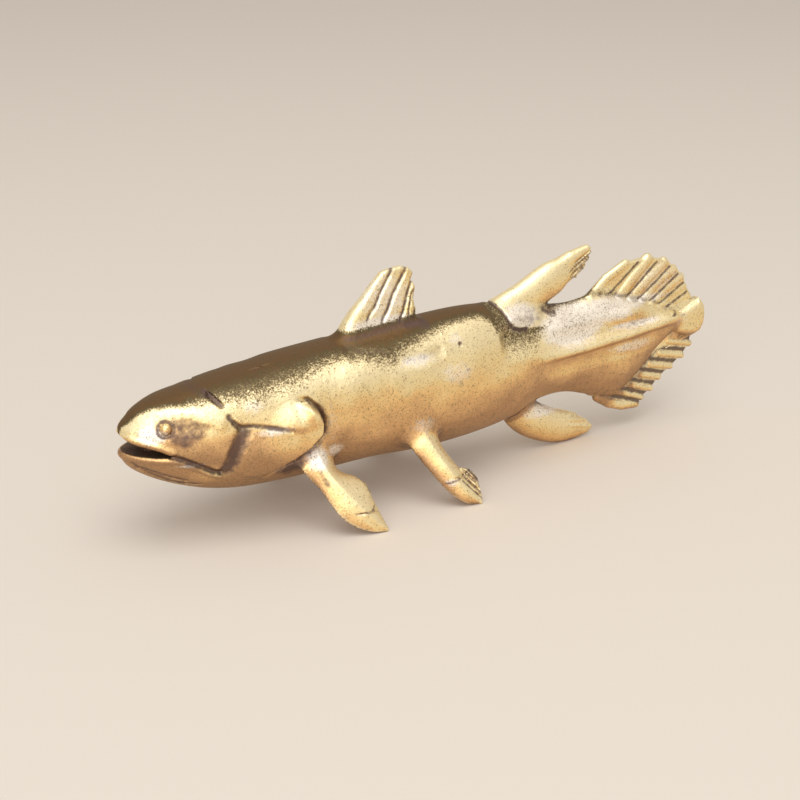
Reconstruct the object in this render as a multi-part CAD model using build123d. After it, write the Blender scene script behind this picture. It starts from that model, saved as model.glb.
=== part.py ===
from build123d import *
import os
from math import cos, pi, sin

# A lobe-finned fish ornament in cast brass. The body is one casting. The fins, the gill covers,
# the lower jaw, the eye beads and the tail fans are castings of their own, brazed on by pegs and
# tongues that seat in bores and slots of the body.
# The snout points to -X, the back to +Z, and the fish's left side to -Y. The origin is on the
# table, midway along and across the fish.

# Sizes of the whole fish, in millimetres
overall_length = 70.0
trunk_height = 13.8
trunk_width = 10.8
belly_height = 3.9
braze_gap = 0.05
overrun = 3.0
section_points = 12

# Stations of the body from snout to tail root. Each row has the place along the fish, the back,
# the belly and the widest line as shares of the trunk's height over the belly, the half width,
# and the fullness of the section: 2 is an ellipse, more is boxy, less is keeled at the sides.
body_station_shares = [
    (0.003, 0.640, 0.420, 0.535, 0.170, 2.0),
    (0.012, 0.672, 0.362, 0.540, 0.315, 2.0),
    (0.026, 0.716, 0.292, 0.535, 0.470, 2.0),
    (0.049, 0.760, 0.206, 0.520, 0.625, 2.1),
    (0.080, 0.800, 0.122, 0.508, 0.748, 2.2),
    (0.121, 0.836, 0.056, 0.498, 0.862, 2.3),
    (0.171, 0.871, 0.018, 0.490, 0.945, 2.35),
    (0.243, 0.915, 0.004, 0.484, 0.990, 2.35),
    (0.343, 0.957, 0.000, 0.480, 1.000, 2.3),
    (0.457, 0.990, 0.000, 0.480, 0.970, 2.25),
    (0.543, 1.010, 0.014, 0.480, 0.905, 2.15),
    (0.614, 0.985, 0.056, 0.485, 0.795, 2.0),
    (0.671, 0.925, 0.145, 0.515, 0.650, 1.85),
    (0.729, 0.890, 0.150, 0.540, 0.520, 1.7),
    (0.786, 0.920, 0.062, 0.560, 0.425, 1.65),
    (0.821, 0.870, 0.020, 0.570, 0.385, 1.65),
    (0.851, 0.825, 0.095, 0.578, 0.345, 1.65),
    (0.880, 0.780, 0.215, 0.588, 0.300, 1.65),
    (0.907, 0.725, 0.350, 0.596, 0.255, 1.7),
    (0.931, 0.665, 0.460, 0.600, 0.215, 1.8),
]
snout_height_share = 0.535

# Mouth and lower jaw: lines as shares of the jaw's length and of the trunk's height
jaw_length = 10.6
mouth_recess = 1.7
jaw_peg_radius = 0.7
jaw_peg_reach = 1.8
jaw_peg_station_share = 0.52
jaw_line_shares = [
    (-0.06, 0.456), (0.11, 0.438), (0.31, 0.409), (0.51, 0.362),
    (0.71, 0.294), (0.87, 0.232), (0.98, 0.130), (1.01, -0.100),
]
lip_line_shares = [(-0.06, 0.578), (0.11, 0.545), (0.26, 0.496), (0.41, 0.435), (0.50, 0.372)]

# Eye beads in dished orbits
eye_radius = 0.58
eye_station_share = 0.0507
eye_height_share = 0.634
orbit_radius = 1.9
orbit_depth = 0.32
eye_stem_radius = 0.3
eye_stem_reach = 1.5

# Grooves in the head: the joint across the skull roof and the one in front of the gill cover
head_groove_depth = 0.42
skull_groove_width = 0.5
skull_groove_shares = [(0.101, 0.90), (0.111, 0.82), (0.126, 0.745)]
cheek_groove_width = 0.95
cheek_groove_shares = [(0.138, 0.66), (0.145, 0.58), (0.143, 0.49), (0.134, 0.40), (0.126, 0.315)]

# Gill covers: the outline as shares of the cover's length and height
gill_thickness = 0.62
gill_front_share = 0.136
gill_length = 9.3
gill_base_share = 0.150
gill_height = 7.6
gill_pin_radius = 0.7
gill_pin_reach = 1.6
gill_pin_place_share = 0.5
gill_outline_shares = [
    (0.03, 0.22), (0.07, 0.43), (0.13, 0.64), (0.17, 0.80), (0.31, 0.92), (0.53, 0.99),
    (0.76, 0.99), (0.91, 0.88), (1.00, 0.66), (0.96, 0.44), (0.83, 0.30), (0.64, 0.15),
    (0.42, 0.04), (0.20, 0.00), (0.06, 0.07),
]

# First dorsal fin: a ribbed sail on the back. Rows of the sail are height, front and rear edge
# and thickness; rows of the ribs are the foot along the base, and the tip along and up.
sail_front_share = 0.333
sail_base = 9.3
sail_height = 6.2
sail_thickness = 1.7
sail_station_shares = [
    (-0.12, -0.03, 1.03, 1.00), (0.10, 0.04, 0.99, 0.90), (0.35, 0.17, 0.945, 0.72),
    (0.60, 0.32, 0.930, 0.56), (0.82, 0.49, 0.925, 0.44), (0.94, 0.62, 0.880, 0.34),
]
sail_crest_share = 0.77
sail_rib_shares = [
    (0.10, 0.67, 0.94), (0.29, 0.79, 0.95), (0.47, 0.88, 0.88), (0.64, 0.915, 0.67),
    (0.78, 0.930, 0.43), (0.89, 0.950, 0.21),
]
sail_rib_foot_radius = 0.85
sail_rib_tip_radius = 0.34
sail_tongue_depth = 1.6
sail_tongue_thickness = 0.9
sail_tongue_front_share = 0.18
sail_tongue_rear_share = 0.85

# Pegs that seat the lobed fins in the body
fin_peg_radius = 0.75
fin_peg_depth = 2.0
fin_root_bury = 0.8

# Lobed fins. A path's rows are the bends between seat and tip, as shares along, across and up. A
# profile's rows are the breadth and the thickness, as shares, at even steps from root to tip.
lobe_fullness = 1.7

# Second dorsal fin
rear_dorsal_station_share = 0.645
rear_dorsal_reach = 8.6
rear_dorsal_rise = 4.9
rear_dorsal_width = 3.5
rear_dorsal_thickness = 2.5
rear_dorsal_bend_shares = [(0.36, 0.0, 0.46), (0.65, 0.0, 0.71)]
rear_dorsal_profile_shares = [
    (1.35, 1.15), (1.06, 1.02), (0.94, 0.98), (0.96, 0.98), (0.96, 0.90), (0.80, 0.70), (0.50, 0.42),
]

# Anal fin, which rests on the table
anal_station_share = 0.648
anal_reach = 9.6
anal_width = 3.8
anal_thickness = 2.9
anal_tip_height = 0.9
anal_bend_shares = [(0.24, 0.0, 0.42), (0.58, 0.0, 0.80)]
anal_profile_shares = [
    (0.86, 1.00), (0.88, 0.98), (0.96, 0.92), (1.02, 0.84), (1.00, 0.72), (0.86, 0.56), (0.58, 0.38),
]

# Pectoral fins, front pair of legs
pectoral_station_share = 0.266
pectoral_root_share = 0.270
pectoral_reach = 4.9
pectoral_spread = 9.75
pectoral_width = 3.8
pectoral_thickness = 1.9
pectoral_bend_shares = [(0.16, 0.38, 0.35), (0.50, 0.77, 0.71)]
pectoral_profile_shares = [
    (0.80, 1.25), (0.68, 1.12), (0.70, 1.02), (0.88, 0.98), (1.02, 0.92), (0.94, 0.82), (0.66, 0.66),
    (0.46, 0.52),
]
pectoral_web_start_share = 0.30
pectoral_web_end_share = 0.80
pectoral_web_profile_shares = [(0.16, 0.16), (0.62, 0.24), (0.80, 0.26), (0.66, 0.24), (0.34, 0.18)]
pectoral_web_set_share = 0.26

# Pelvic fins, rear pair of legs
pelvic_station_share = 0.435
pelvic_root_share = 0.250
pelvic_reach = 4.2
pelvic_spread = 8.9
pelvic_width = 2.8
pelvic_thickness = 2.0
pelvic_bend_shares = [(0.25, 0.42, 0.40), (0.62, 0.79, 0.78)]
pelvic_profile_shares = [
    (1.12, 1.20), (0.90, 1.05), (0.80, 0.94), (0.80, 0.88), (0.86, 0.80), (0.76, 0.66), (0.50, 0.46),
]

# Soft rays that fan out behind the ends of the lobed fins
soft_ray_count = 4
soft_ray_radius = 0.3
soft_ray_pitch = 0.42
soft_ray_step = 0.55
soft_ray_start_share = 0.56
soft_ray_gather_share = 0.3

# Depth to which the fins that stand on the table are ground off flat
foot_sink = 0.24

# Tail fans. Rows are the foot of each ray along the fish, its reach and rise as shares of the
# fan's length and height, and its thickness.
fan_web_thickness = 0.6
fan_tongue_depth = 1.2
fan_web_end_share = 0.84
ray_tip_share = 0.78
upper_fan_length = 4.7
upper_fan_height = 3.3
upper_ray_radius = 0.5
upper_ray_shares = [
    (0.775, 0.91, 0.84, 1.15), (0.818, 0.95, 1.00, 1.15), (0.844, 1.02, 0.96, 1.0),
    (0.867, 0.97, 0.82, 1.0), (0.886, 0.90, 0.66, 0.9), (0.902, 0.77, 0.49, 0.85),
    (0.914, 0.71, 0.36, 0.8), (0.925, 0.66, 0.22, 0.7),
]
lower_fan_length = 4.3
lower_fan_height = 2.0
lower_ray_radius = 0.44
lower_ray_shares = [
    (0.804, 0.99, 0.85, 1.45), (0.829, 0.96, 0.68, 1.0), (0.857, 0.81, 0.78, 1.0),
    (0.877, 0.77, 0.85, 1.0), (0.895, 0.80, 0.92, 1.0), (0.910, 0.83, 0.83, 1.0),
    (0.924, 0.84, 0.55, 1.0),
]

# Leaf at the tip of the tail, with the peg that seats it in the body's end
tip_length = 4.8
tip_height = 3.8
tip_thickness = 2.0
tip_centre_share = 0.592
tip_peg_radius = 0.5
tip_peg_depth = 1.1
tip_station_shares = [
    (0.00, 0.58, 1.00), (0.22, 0.62, 0.94), (0.44, 0.80, 0.84), (0.66, 0.99, 0.74),
    (0.85, 0.90, 0.60),
]


def station_at(share):
    """Place along the fish of a share of its length from the snout."""
    return share * overall_length - overall_length / 2


def height_at(share):
    """Height over the table of a share of the trunk's height over the belly."""
    return belly_height + share * trunk_height


def body_at(share):
    """Back, belly, widest line, half width and fullness of the body at a share of its length."""
    rows = body_station_shares
    for low, high in zip(rows, rows[1:]):
        if share <= high[0] or high is rows[-1]:
            part_share = (share - low[0]) / (high[0] - low[0])
            back, belly, keel, half, full = [a + (b - a) * part_share for a, b in zip(low[1:], high[1:])]
            return height_at(back), height_at(belly), height_at(keel), half * trunk_width / 2, full


def flank_point(share, height_share):
    """A point on the body's left flank, and the way out of the flank there."""
    back, belly, keel, half, full = body_at(share)
    height = height_at(height_share)
    reach = back - keel if height > keel else keel - belly
    rise = (height - keel) / reach
    out = (1 - abs(rise) ** full) ** (1 / full)
    way = Vector(0, -(out ** (full - 1)) / half, signed_power(rise, full - 1) / reach)
    return Vector(station_at(share), -out * half, height), way.normalized()


def signed_power(value, power):
    """A power that keeps the sign of its base."""
    return abs(value) ** power if value > 0 else -(abs(value) ** power)


def section(place, half_width, above, below, fullness):
    """A closed section on a plane: an ellipse at fullness 2, a keeled lens below it."""
    points = []
    for step in range(section_points):
        turn = 2 * pi * step / section_points
        side = signed_power(sin(turn), 2 / fullness) * half_width
        rise = signed_power(cos(turn), 2 / fullness)
        points.append(place.from_local_coords((side, rise * (above if rise > 0 else below), 0)))
    return Face(Wire([Spline(points, periodic=True)]))


def trunk(grow=0.0):
    """The body's plain form from snout to tail root, swollen all round by grow."""
    sections = [Vertex(station_at(0) - grow, 0, height_at(snout_height_share))]
    for share, back, belly, keel, half, full in body_station_shares:
        place = Plane(origin=(station_at(share), 0, height_at(keel)), x_dir=(0, 1, 0), z_dir=(1, 0, 0))
        above = (back - keel) * trunk_height + grow
        below = (keel - belly) * trunk_height + grow
        sections.append(section(place, half * trunk_width / 2 + grow, above, below, full))
    return loft(sections)


def side_plate(points, thickness):
    """A plate of a side-view outline, of the given thickness, astride the fish's middle plane."""
    outline = make_face(Polyline(*points, close=True))
    return extrude(Plane.XZ * outline, amount=thickness / 2, both=True)


def rod(start, end, start_radius, end_radius):
    """A tapered rod with a round tip."""
    way = end - start
    cone = Plane(origin=(start + end) / 2, z_dir=way) * Cone(start_radius, end_radius, way.length)
    return cone + Pos(end) * Sphere(end_radius)


def peg(seat, way, radius, depth, stand):
    """A round peg that runs into a bore by depth, and back along its way by stand."""
    middle = seat + way * ((stand - depth) / 2)
    return Plane(origin=middle, z_dir=way) * Cylinder(radius, depth + stand)


def both_sides(left):
    """A piece of the left flank and its mirror on the right one."""
    return [left, mirror(left, about=Plane.XZ)]


def fin_path(seat, tip, bends):
    """A fin's seat on the body, its way out there, and its path from inside the body to its tip."""
    reach = tip - seat
    spots = [seat + Vector(reach.X * a, reach.Y * b, reach.Z * c) for a, b, c in bends]
    way = (spots[0] - seat).normalized()
    return seat, way, Spline(seat - way * fin_root_bury, *spots, tip)


def lobe(path, profile, width, thickness, set_over=0.0):
    """A fin's fleshy lobe: keeled sections at even steps along a path, closed by a point.

    The blade's breadth lies along the fish. set_over moves the lobe rearward across its path.
    """
    sections = []
    for step, (broad, thick) in enumerate(profile):
        way = path % (step / len(profile))
        across = rearward_of(way)
        spot = path @ (step / len(profile)) + across * set_over
        place = Plane(origin=spot, x_dir=across, z_dir=way)
        half_thickness = thick * thickness / 2
        sections.append(section(place, broad * width / 2, half_thickness, half_thickness, lobe_fullness))
    return loft(sections + [Vertex(*(path @ 1 + rearward_of(path % 1) * set_over))])


def rearward_of(way):
    """The direction square to a fin's path that points most toward the tail."""
    along = Vector(1, 0, 0)
    return (along - way * along.dot(way)).normalized()


def soft_rays(path):
    """Slim rays that fan out behind the end of a lobe, each a step shorter than the last."""
    root, tip = path @ soft_ray_start_share, path @ 1
    way = (tip - root).normalized()
    rays = []
    for count in range(1, soft_ray_count + 1):
        side = rearward_of(way) * (count * soft_ray_pitch)
        start = root + side * soft_ray_gather_share
        end = tip + side - way * (count * soft_ray_step)
        rays.append(rod(start, end, soft_ray_radius, soft_ray_radius * ray_tip_share))
    return rays


def ground_flat(fin):
    """The fin with what lies under the table top taken off."""
    size = overall_length + overrun
    below = Pos(0, 0, -size / 2) * Box(size, size, size)
    return fin - below


def seated(fin, seat, way):
    """A fin trimmed to the body's skin, less the braze gap, with its peg."""
    return fin - trunk(braze_gap) + peg(seat, way, fin_peg_radius, fin_peg_depth, fin_root_bury)


def fin_bore(seat, way):
    """The bore in the body that takes a fin's peg."""
    return peg(seat, way, fin_peg_radius + braze_gap, fin_peg_depth + braze_gap, fin_root_bury)


def rear_dorsal_path():
    """Seat, way out and path of the second dorsal fin."""
    back = body_at(rear_dorsal_station_share)[0]
    seat = Vector(station_at(rear_dorsal_station_share), 0, back)
    tip = seat + Vector(rear_dorsal_reach, 0, rear_dorsal_rise)
    return fin_path(seat, tip, rear_dorsal_bend_shares)


def anal_path():
    """Seat, way out and path of the anal fin."""
    belly = body_at(anal_station_share)[1]
    seat = Vector(station_at(anal_station_share), 0, belly)
    tip = Vector(seat.X + anal_reach, 0, anal_tip_height)
    return fin_path(seat, tip, anal_bend_shares)


def pectoral_path():
    """Seat, way out and path of the left pectoral fin, which stands on the table."""
    seat = flank_point(pectoral_station_share, pectoral_root_share)[0]
    tip = Vector(seat.X + pectoral_reach, -pectoral_spread, -foot_sink)
    return fin_path(seat, tip, pectoral_bend_shares)


def pelvic_path():
    """Seat, way out and path of the left pelvic fin, which stands on the table."""
    seat = flank_point(pelvic_station_share, pelvic_root_share)[0]
    tip = Vector(seat.X + pelvic_reach, -pelvic_spread, -foot_sink)
    return fin_path(seat, tip, pelvic_bend_shares)


def second_dorsal_fin():
    """The second dorsal fin: a bulging stalk that sweeps back to a tuft of rays."""
    seat, way, path = rear_dorsal_path()
    fin = lobe(path, rear_dorsal_profile_shares, rear_dorsal_width, rear_dorsal_thickness)
    return seated(fuse_all(fin, soft_rays(path)), seat, way)


def anal_fin():
    """The anal fin: a deep stalk that sweeps down and back and stands on the table."""
    seat, way, path = anal_path()
    return ground_flat(seated(lobe(path, anal_profile_shares, anal_width, anal_thickness), seat, way))


def pectoral_fin():
    """A pectoral fin: neck, paddle with a thin web behind, and a leaf for its foot."""
    seat, way, path = pectoral_path()
    fin = lobe(path, pectoral_profile_shares, pectoral_width, pectoral_thickness)
    rear = path.trim(pectoral_web_start_share, pectoral_web_end_share)
    web = lobe(rear, pectoral_web_profile_shares, pectoral_width, pectoral_thickness,
               pectoral_web_set_share * pectoral_width)
    return ground_flat(seated(fin.fuse(web), seat, way))


def pelvic_fin():
    """A pelvic fin: a slim arm with soft rays behind its foot."""
    seat, way, path = pelvic_path()
    fin = lobe(path, pelvic_profile_shares, pelvic_width, pelvic_thickness)
    return ground_flat(seated(fuse_all(fin, soft_rays(path)), seat, way))


def fuse_all(first, others):
    """One solid of a piece and the pieces that grow from it."""
    return first.fuse(*others) if others else first


def sail_place(along_share, up_share):
    """A point of the sail, by shares of its base and height over the back."""
    front = station_at(sail_front_share)
    middle_share = sail_front_share + sail_base / overall_length / 2
    return Vector(front + along_share * sail_base, 0, body_at(middle_share)[0] + up_share * sail_height)


def sail_tongue(grow):
    """The sail's tongue, or with a grow the slot that takes it."""
    front = sail_place(sail_tongue_front_share, 0).X - grow
    rear = sail_place(sail_tongue_rear_share, 0).X + grow
    top = sail_place(0, sail_station_shares[1][0]).Z
    bottom = sail_place(0, 0).Z - sail_tongue_depth - grow
    return side_plate([(front, bottom), (rear, bottom), (rear, top), (front, top)],
                      sail_tongue_thickness + 2 * grow)


def first_dorsal_fin():
    """The first dorsal fin: a sail that thins toward its crest, with thick ribs."""
    sections = []
    for up, front, rear, thick in sail_station_shares:
        low, high = sail_place(front, up), sail_place(rear, up)
        place = Plane(origin=(low + high) / 2, x_dir=(1, 0, 0), z_dir=(0, 0, 1))
        half_thickness = thick * sail_thickness / 2
        sections.append(section(place, (high - low).length / 2, half_thickness, half_thickness, 2))
    sail = loft(sections + [Vertex(*sail_place(sail_crest_share, 1))])
    ribs = []
    for foot, tip, rise in sail_rib_shares:
        ribs.append(rod(sail_place(foot, 0), sail_place(tip, rise), sail_rib_foot_radius,
                        sail_rib_tip_radius))
    return fuse_all(sail, ribs) - trunk(braze_gap) + sail_tongue(0)


def fan_rays(rows, length, height, radius, edge):
    """Foot, tip and radius of a tail fan's rays. edge is 0 on the back's line, 1 on the belly's."""
    rise_way = 1 if edge == 0 else -1
    ends = []
    for share, reach, rise, thick in rows:
        foot = Vector(station_at(share), 0, body_at(share)[edge])
        tip = foot + Vector(reach * length, 0, rise_way * rise * height)
        ends.append((foot, tip, thick * radius))
    return ends


def fan_web(ends):
    """The thin web between a fan's rays."""
    feet = [(foot.X, foot.Z) for foot, tip, radius in ends]
    outer = [foot + (tip - foot) * fan_web_end_share for foot, tip, radius in reversed(ends)]
    return side_plate(feet + [(spot.X, spot.Z) for spot in outer], fan_web_thickness)


def fan_tongue(ends, grow):
    """The tongue under a fan, or with a grow the slot that takes it. It ends short of the tip's peg."""
    limit = station_at(body_station_shares[-1][0]) - tip_peg_depth - fan_tongue_depth / 2
    line = [(foot.X, foot.Z) for foot, tip, radius in ends if foot.X < limit]
    line[0] = (line[0][0] - grow, line[0][1])
    line[-1] = (line[-1][0] + grow, line[-1][1])
    rise_way = 1 if ends[0][1].Z > ends[0][0].Z else -1
    inner = [(x, z - rise_way * (fan_tongue_depth + grow)) for x, z in line]
    outer = [(x, z + rise_way * fan_tongue_depth / 2) for x, z in reversed(line)]
    return side_plate(inner + outer, fan_web_thickness + 2 * grow)


def tail_fan(ends):
    """A tail fan: thick tapered rays and a thin web, with a tongue in the stalk's slot."""
    rays = [rod(foot, tip, radius, radius * ray_tip_share) for foot, tip, radius in ends]
    fan = fuse_all(rays[0], rays[1:] + [fan_web(ends)]) - trunk(braze_gap)
    return fan + fan_tongue(ends, 0) - tail_leaf(braze_gap)


def upper_fan_ends():
    """Rays of the upper tail fan."""
    return fan_rays(upper_ray_shares, upper_fan_length, upper_fan_height, upper_ray_radius, 0)


def lower_fan_ends():
    """Rays of the lower tail fan."""
    return fan_rays(lower_ray_shares, lower_fan_length, lower_fan_height, lower_ray_radius, 1)


def tail_leaf(grow=0.0):
    """The leaf at the tip of the tail, swollen all round by grow."""
    start = station_at(body_station_shares[-1][0]) + braze_gap - grow
    sections = []
    for along, high, thick in tip_station_shares:
        spot = start + along * (tip_length + 2 * grow)
        place = Plane(origin=(spot, 0, height_at(tip_centre_share)), x_dir=(0, 1, 0), z_dir=(1, 0, 0))
        half_height = high * tip_height / 2 + grow
        sections.append(section(place, thick * tip_thickness / 2 + grow, half_height, half_height, 2))
    end = start + tip_length + 2 * grow
    return loft(sections + [Vertex(end, 0, height_at(tip_centre_share))])


def tip_peg(grow):
    """The tail leaf's peg, or with a grow the bore that takes it."""
    end = station_at(body_station_shares[-1][0])
    seat = Vector(end, 0, height_at(tip_centre_share))
    return peg(seat, Vector(1, 0, 0), tip_peg_radius + grow, tip_peg_depth + grow, tip_peg_depth)


def head_line(shares):
    """Points in side view from shares of the jaw's length and the trunk's height."""
    return [(station_at(0) + along * jaw_length, height_at(up)) for along, up in shares]


def jaw_block(grow):
    """All that lies under the jaw line, grown upward and rearward by grow."""
    line = [(x + grow, z + grow) for x, z in head_line(jaw_line_shares)]
    front = station_at(0) - overrun
    return side_plate(line + [(line[-1][0], -overrun), (front, -overrun), (front, line[0][1])],
                      trunk_width + overrun)


def mouth_opening():
    """The open wedge of the mouth between lip line and jaw line, round a core that backs it."""
    lip = head_line(lip_line_shares)
    jaw = [point for point in head_line(jaw_line_shares) if point[0] < lip[-1][0]]
    wedge = side_plate(lip + list(reversed(jaw)), trunk_width + overrun)
    plan = Pos(station_at(0) + jaw_length, 0) * Ellipse(jaw_length - mouth_recess,
                                                        trunk_width / 2 - mouth_recess)
    return wedge - extrude(plan, amount=belly_height + trunk_height)


def jaw_peg(grow):
    """The lower jaw's peg, or with a grow the bore that takes it."""
    line = head_line(jaw_line_shares)
    seat_height = height_at(jaw_line_shares[2][1])
    seat = Vector(station_at(0) + jaw_peg_station_share * jaw_length, 0, seat_height)
    return peg(seat, Vector(0, 0, -1), jaw_peg_radius + grow, jaw_peg_reach + grow, jaw_peg_reach)


def lower_jaw():
    """The lower jaw: a scoop from the chin to the throat, seated by a peg."""
    return (trunk() & jaw_block(0)) + jaw_peg(0)


def gill_outline():
    """The gill cover's outline in side view."""
    front = station_at(gill_front_share)
    base = height_at(gill_base_share)
    points = [(front + u * gill_length, base + v * gill_height) for u, v in gill_outline_shares]
    return make_face(Spline(*points, periodic=True))


def gill_seat():
    """Seat and way out of the gill cover's pin."""
    middle = gill_front_share + gill_pin_place_share * gill_length / overall_length
    rise = gill_base_share + gill_pin_place_share * gill_height / trunk_height
    return flank_point(middle, rise)


def gill_cover():
    """A gill cover: a plate bent to the flank with a free edge, seated by a pin."""
    seat, way = gill_seat()
    prism = extrude(Plane.XZ * gill_outline(), amount=trunk_width)
    plate = (trunk(gill_thickness) & prism) - trunk(braze_gap)
    return plate + peg(seat, way, gill_pin_radius, gill_pin_reach, gill_thickness / 2)


def eye_place():
    """Centre of an eye bead, at the bottom of its orbit, and the way out of the flank."""
    spot, way = flank_point(eye_station_share, eye_height_share)
    return spot - way * orbit_depth, way


def eye():
    """An eye bead on its stem."""
    centre, way = eye_place()
    return Pos(centre) * Sphere(eye_radius) + peg(centre, way, eye_stem_radius, eye_stem_reach, 0)


def eye_socket():
    """The dished orbit with the bead's seat and the stem's bore."""
    centre, way = eye_place()
    dish_radius = (orbit_radius ** 2 + orbit_depth ** 2) / (2 * orbit_depth)
    dish = Pos(centre + way * dish_radius) * Sphere(dish_radius)
    bead = Pos(centre) * Sphere(eye_radius + braze_gap)
    return [dish, bead, peg(centre, way, eye_stem_radius + braze_gap, eye_stem_reach + braze_gap, 0)]


def head_groove(shares, width):
    """A groove of even depth that follows the head's skin along a line in side view."""
    line = Spline(*[(station_at(along), height_at(up)) for along, up in shares])
    band = extrude(Plane.XZ * trace(line, width), amount=trunk_width, both=True)
    return band - trunk(-head_groove_depth)


def body():
    """The body casting with its mouth, orbits and grooves, and a seat for every other piece."""
    cuts = [jaw_block(braze_gap), mouth_opening(), jaw_peg(braze_gap)]
    cuts += [head_groove(skull_groove_shares, skull_groove_width)]
    cuts += [head_groove(cheek_groove_shares, cheek_groove_width)]
    cuts += [sail_tongue(braze_gap), tip_peg(braze_gap)]
    cuts += [fan_tongue(upper_fan_ends(), braze_gap), fan_tongue(lower_fan_ends(), braze_gap)]
    cuts += [fin_bore(*rear_dorsal_path()[:2]), fin_bore(*anal_path()[:2])]
    gill, gill_way = gill_seat()
    paired = [fin_bore(*pectoral_path()[:2]), fin_bore(*pelvic_path()[:2])]
    paired += [peg(gill, gill_way, gill_pin_radius + braze_gap, gill_pin_reach + braze_gap, gill_thickness)]
    for cut in paired + eye_socket():
        cuts += both_sides(cut)
    return trunk().cut(*cuts)


def write(name, shape):
    """Write one piece as a single solid to the parts folder."""
    solids = shape.solids()
    print(name, len(solids), "solid", round(shape.volume, 2), "mm3")
    export_step(solids[0] if len(solids) == 1 else shape, os.path.join("parts", name + ".step"))


def main():
    os.makedirs("parts", exist_ok=True)
    write("body", body())
    write("lower_jaw", lower_jaw())
    write("first_dorsal_fin", first_dorsal_fin())
    write("second_dorsal_fin", second_dorsal_fin())
    write("anal_fin", anal_fin())
    write("tail_fin_upper", tail_fan(upper_fan_ends()))
    write("tail_fin_lower", tail_fan(lower_fan_ends()))
    write("tail_tip", tail_leaf() + tip_peg(0))
    paired = [("gill_cover", gill_cover()), ("eye", eye())]
    paired += [("pectoral_fin", pectoral_fin()), ("pelvic_fin", pelvic_fin())]
    for name, left in paired:
        for side, piece in zip(("left", "right"), both_sides(left)):
            write(name + "_" + side, piece)


main()
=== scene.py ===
"""A lobe-finned fish ornament in cast brass: sculpted castings, patinated metal and a studio stage."""

import bpy
import numpy as np
from bpy.props import FloatProperty, FloatVectorProperty, PointerProperty
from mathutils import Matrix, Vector


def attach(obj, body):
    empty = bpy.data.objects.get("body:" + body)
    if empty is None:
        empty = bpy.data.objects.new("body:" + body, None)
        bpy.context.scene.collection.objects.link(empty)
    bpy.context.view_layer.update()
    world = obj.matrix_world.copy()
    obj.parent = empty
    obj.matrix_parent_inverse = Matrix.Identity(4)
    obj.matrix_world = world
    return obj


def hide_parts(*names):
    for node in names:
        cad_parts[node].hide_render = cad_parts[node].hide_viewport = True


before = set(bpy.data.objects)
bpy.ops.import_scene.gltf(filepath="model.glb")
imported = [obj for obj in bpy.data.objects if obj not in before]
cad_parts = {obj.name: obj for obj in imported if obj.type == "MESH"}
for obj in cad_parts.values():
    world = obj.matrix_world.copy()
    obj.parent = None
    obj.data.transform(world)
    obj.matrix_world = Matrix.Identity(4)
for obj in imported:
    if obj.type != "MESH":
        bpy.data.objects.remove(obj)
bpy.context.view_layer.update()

bl_info = {
    "name": "Brass lobe-finned fish",
    "version": (1, 0, 0),
    "blender": (4, 5, 0),
    "location": "3D View > Sidebar > Ornament",
    "description": "Builds the castings of a brass lobe-finned fish and its studio stage",
    "category": "Add Mesh",
}

MM = 0.001
CHUNK = 150000  # points that a field is worked out for at a time

# The whole fish in side view, in millimetres: snout to -X, back to +Z, left flank to -Y

# Rows: place along the fish, back, belly, widest line, half width, fullness of the section
TRUNK_ROWS = [
    (-35.3, 12.5, 9.9, 11.3, 0.4, 2), (-34.79, 12.73, 9.15, 11.2, 0.98, 2),
    (-34.16, 13.17, 8.3, 11.2, 1.75, 2), (-33.18, 13.78, 7.5, 11.15, 2.54, 2),
    (-31.57, 14.39, 6.55, 11.05, 3.38, 2.1), (-29.4, 14.94, 5.58, 10.91, 4.04, 2.2),
    (-26.53, 15.44, 4.67, 10.77, 4.65, 2.3), (-23.03, 15.92, 4.15, 10.66, 5.1, 2.35),
    (-17.99, 16.53, 4.05, 10.58, 5.35, 2.35), (-12.5, 17, 4.2, 10.55, 5.4, 2.3),
    (-8.5, 17.27, 4.25, 10.52, 5.38, 2.3), (-3.01, 17.56, 3.9, 10.52, 5.24, 2.25),
    (3.01, 17.84, 4.09, 10.52, 4.89, 2.15), (7.98, 17.49, 4.67, 10.8, 4.29, 2),
    (11.97, 16.67, 5.9, 11.5, 3.51, 1.85), (16.03, 16.18, 5.97, 11.7, 2.81, 1.7),
    (20.02, 16.6, 4.76, 11.8, 2.3, 1.65), (22.47, 15.91, 4.18, 11.9, 2.08, 1.65),
    (24.57, 15.29, 5.21, 12, 1.86, 1.65), (26.6, 14.66, 6.87, 12.1, 1.62, 1.65),
    (28.49, 13.91, 8.73, 12.2, 1.38, 1.7), (30.17, 13.08, 10.25, 12.25, 1.16, 1.8),
    (31.2, 12.6, 11.4, 12.1, 0.6, 1.8),
]


def curve(rows, steps):
    """A smooth row of points through the given ones, spaced evenly by share between them."""
    rows = np.asarray(rows, float)
    ends = np.vstack([2 * rows[0] - rows[1], rows, 2 * rows[-1] - rows[-2]])
    out = []
    for i in range(len(rows) - 1):
        a, b, c, d = ends[i:i + 4]
        for t in np.arange(steps) / steps:
            out.append(0.5 * (2 * b + (c - a) * t + (2 * a - 5 * b + 4 * c - d) * t ** 2
                              + (3 * b - a - 3 * c + d) * t ** 3))
    return np.array(out + [rows[-1]])


TRUNK = curve(TRUNK_ROWS, 8)


def read_rows(place, rows, column=1):
    """A column of a table, read between the places in its first column."""
    rows = np.asarray(rows, float)
    return np.interp(place, rows[:, 0], rows[:, column])


def soft_min(a, b, k):
    """The lesser of two fields with a fillet of size k between them."""
    h = np.clip(0.5 + 0.5 * (b - a) / k, 0, 1)
    return b + (a - b) * h - k * h * (1 - h)


def soft_max(a, b, k):
    """The greater of two fields with a rounded edge of size k."""
    return -soft_min(-a, -b, k)


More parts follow.
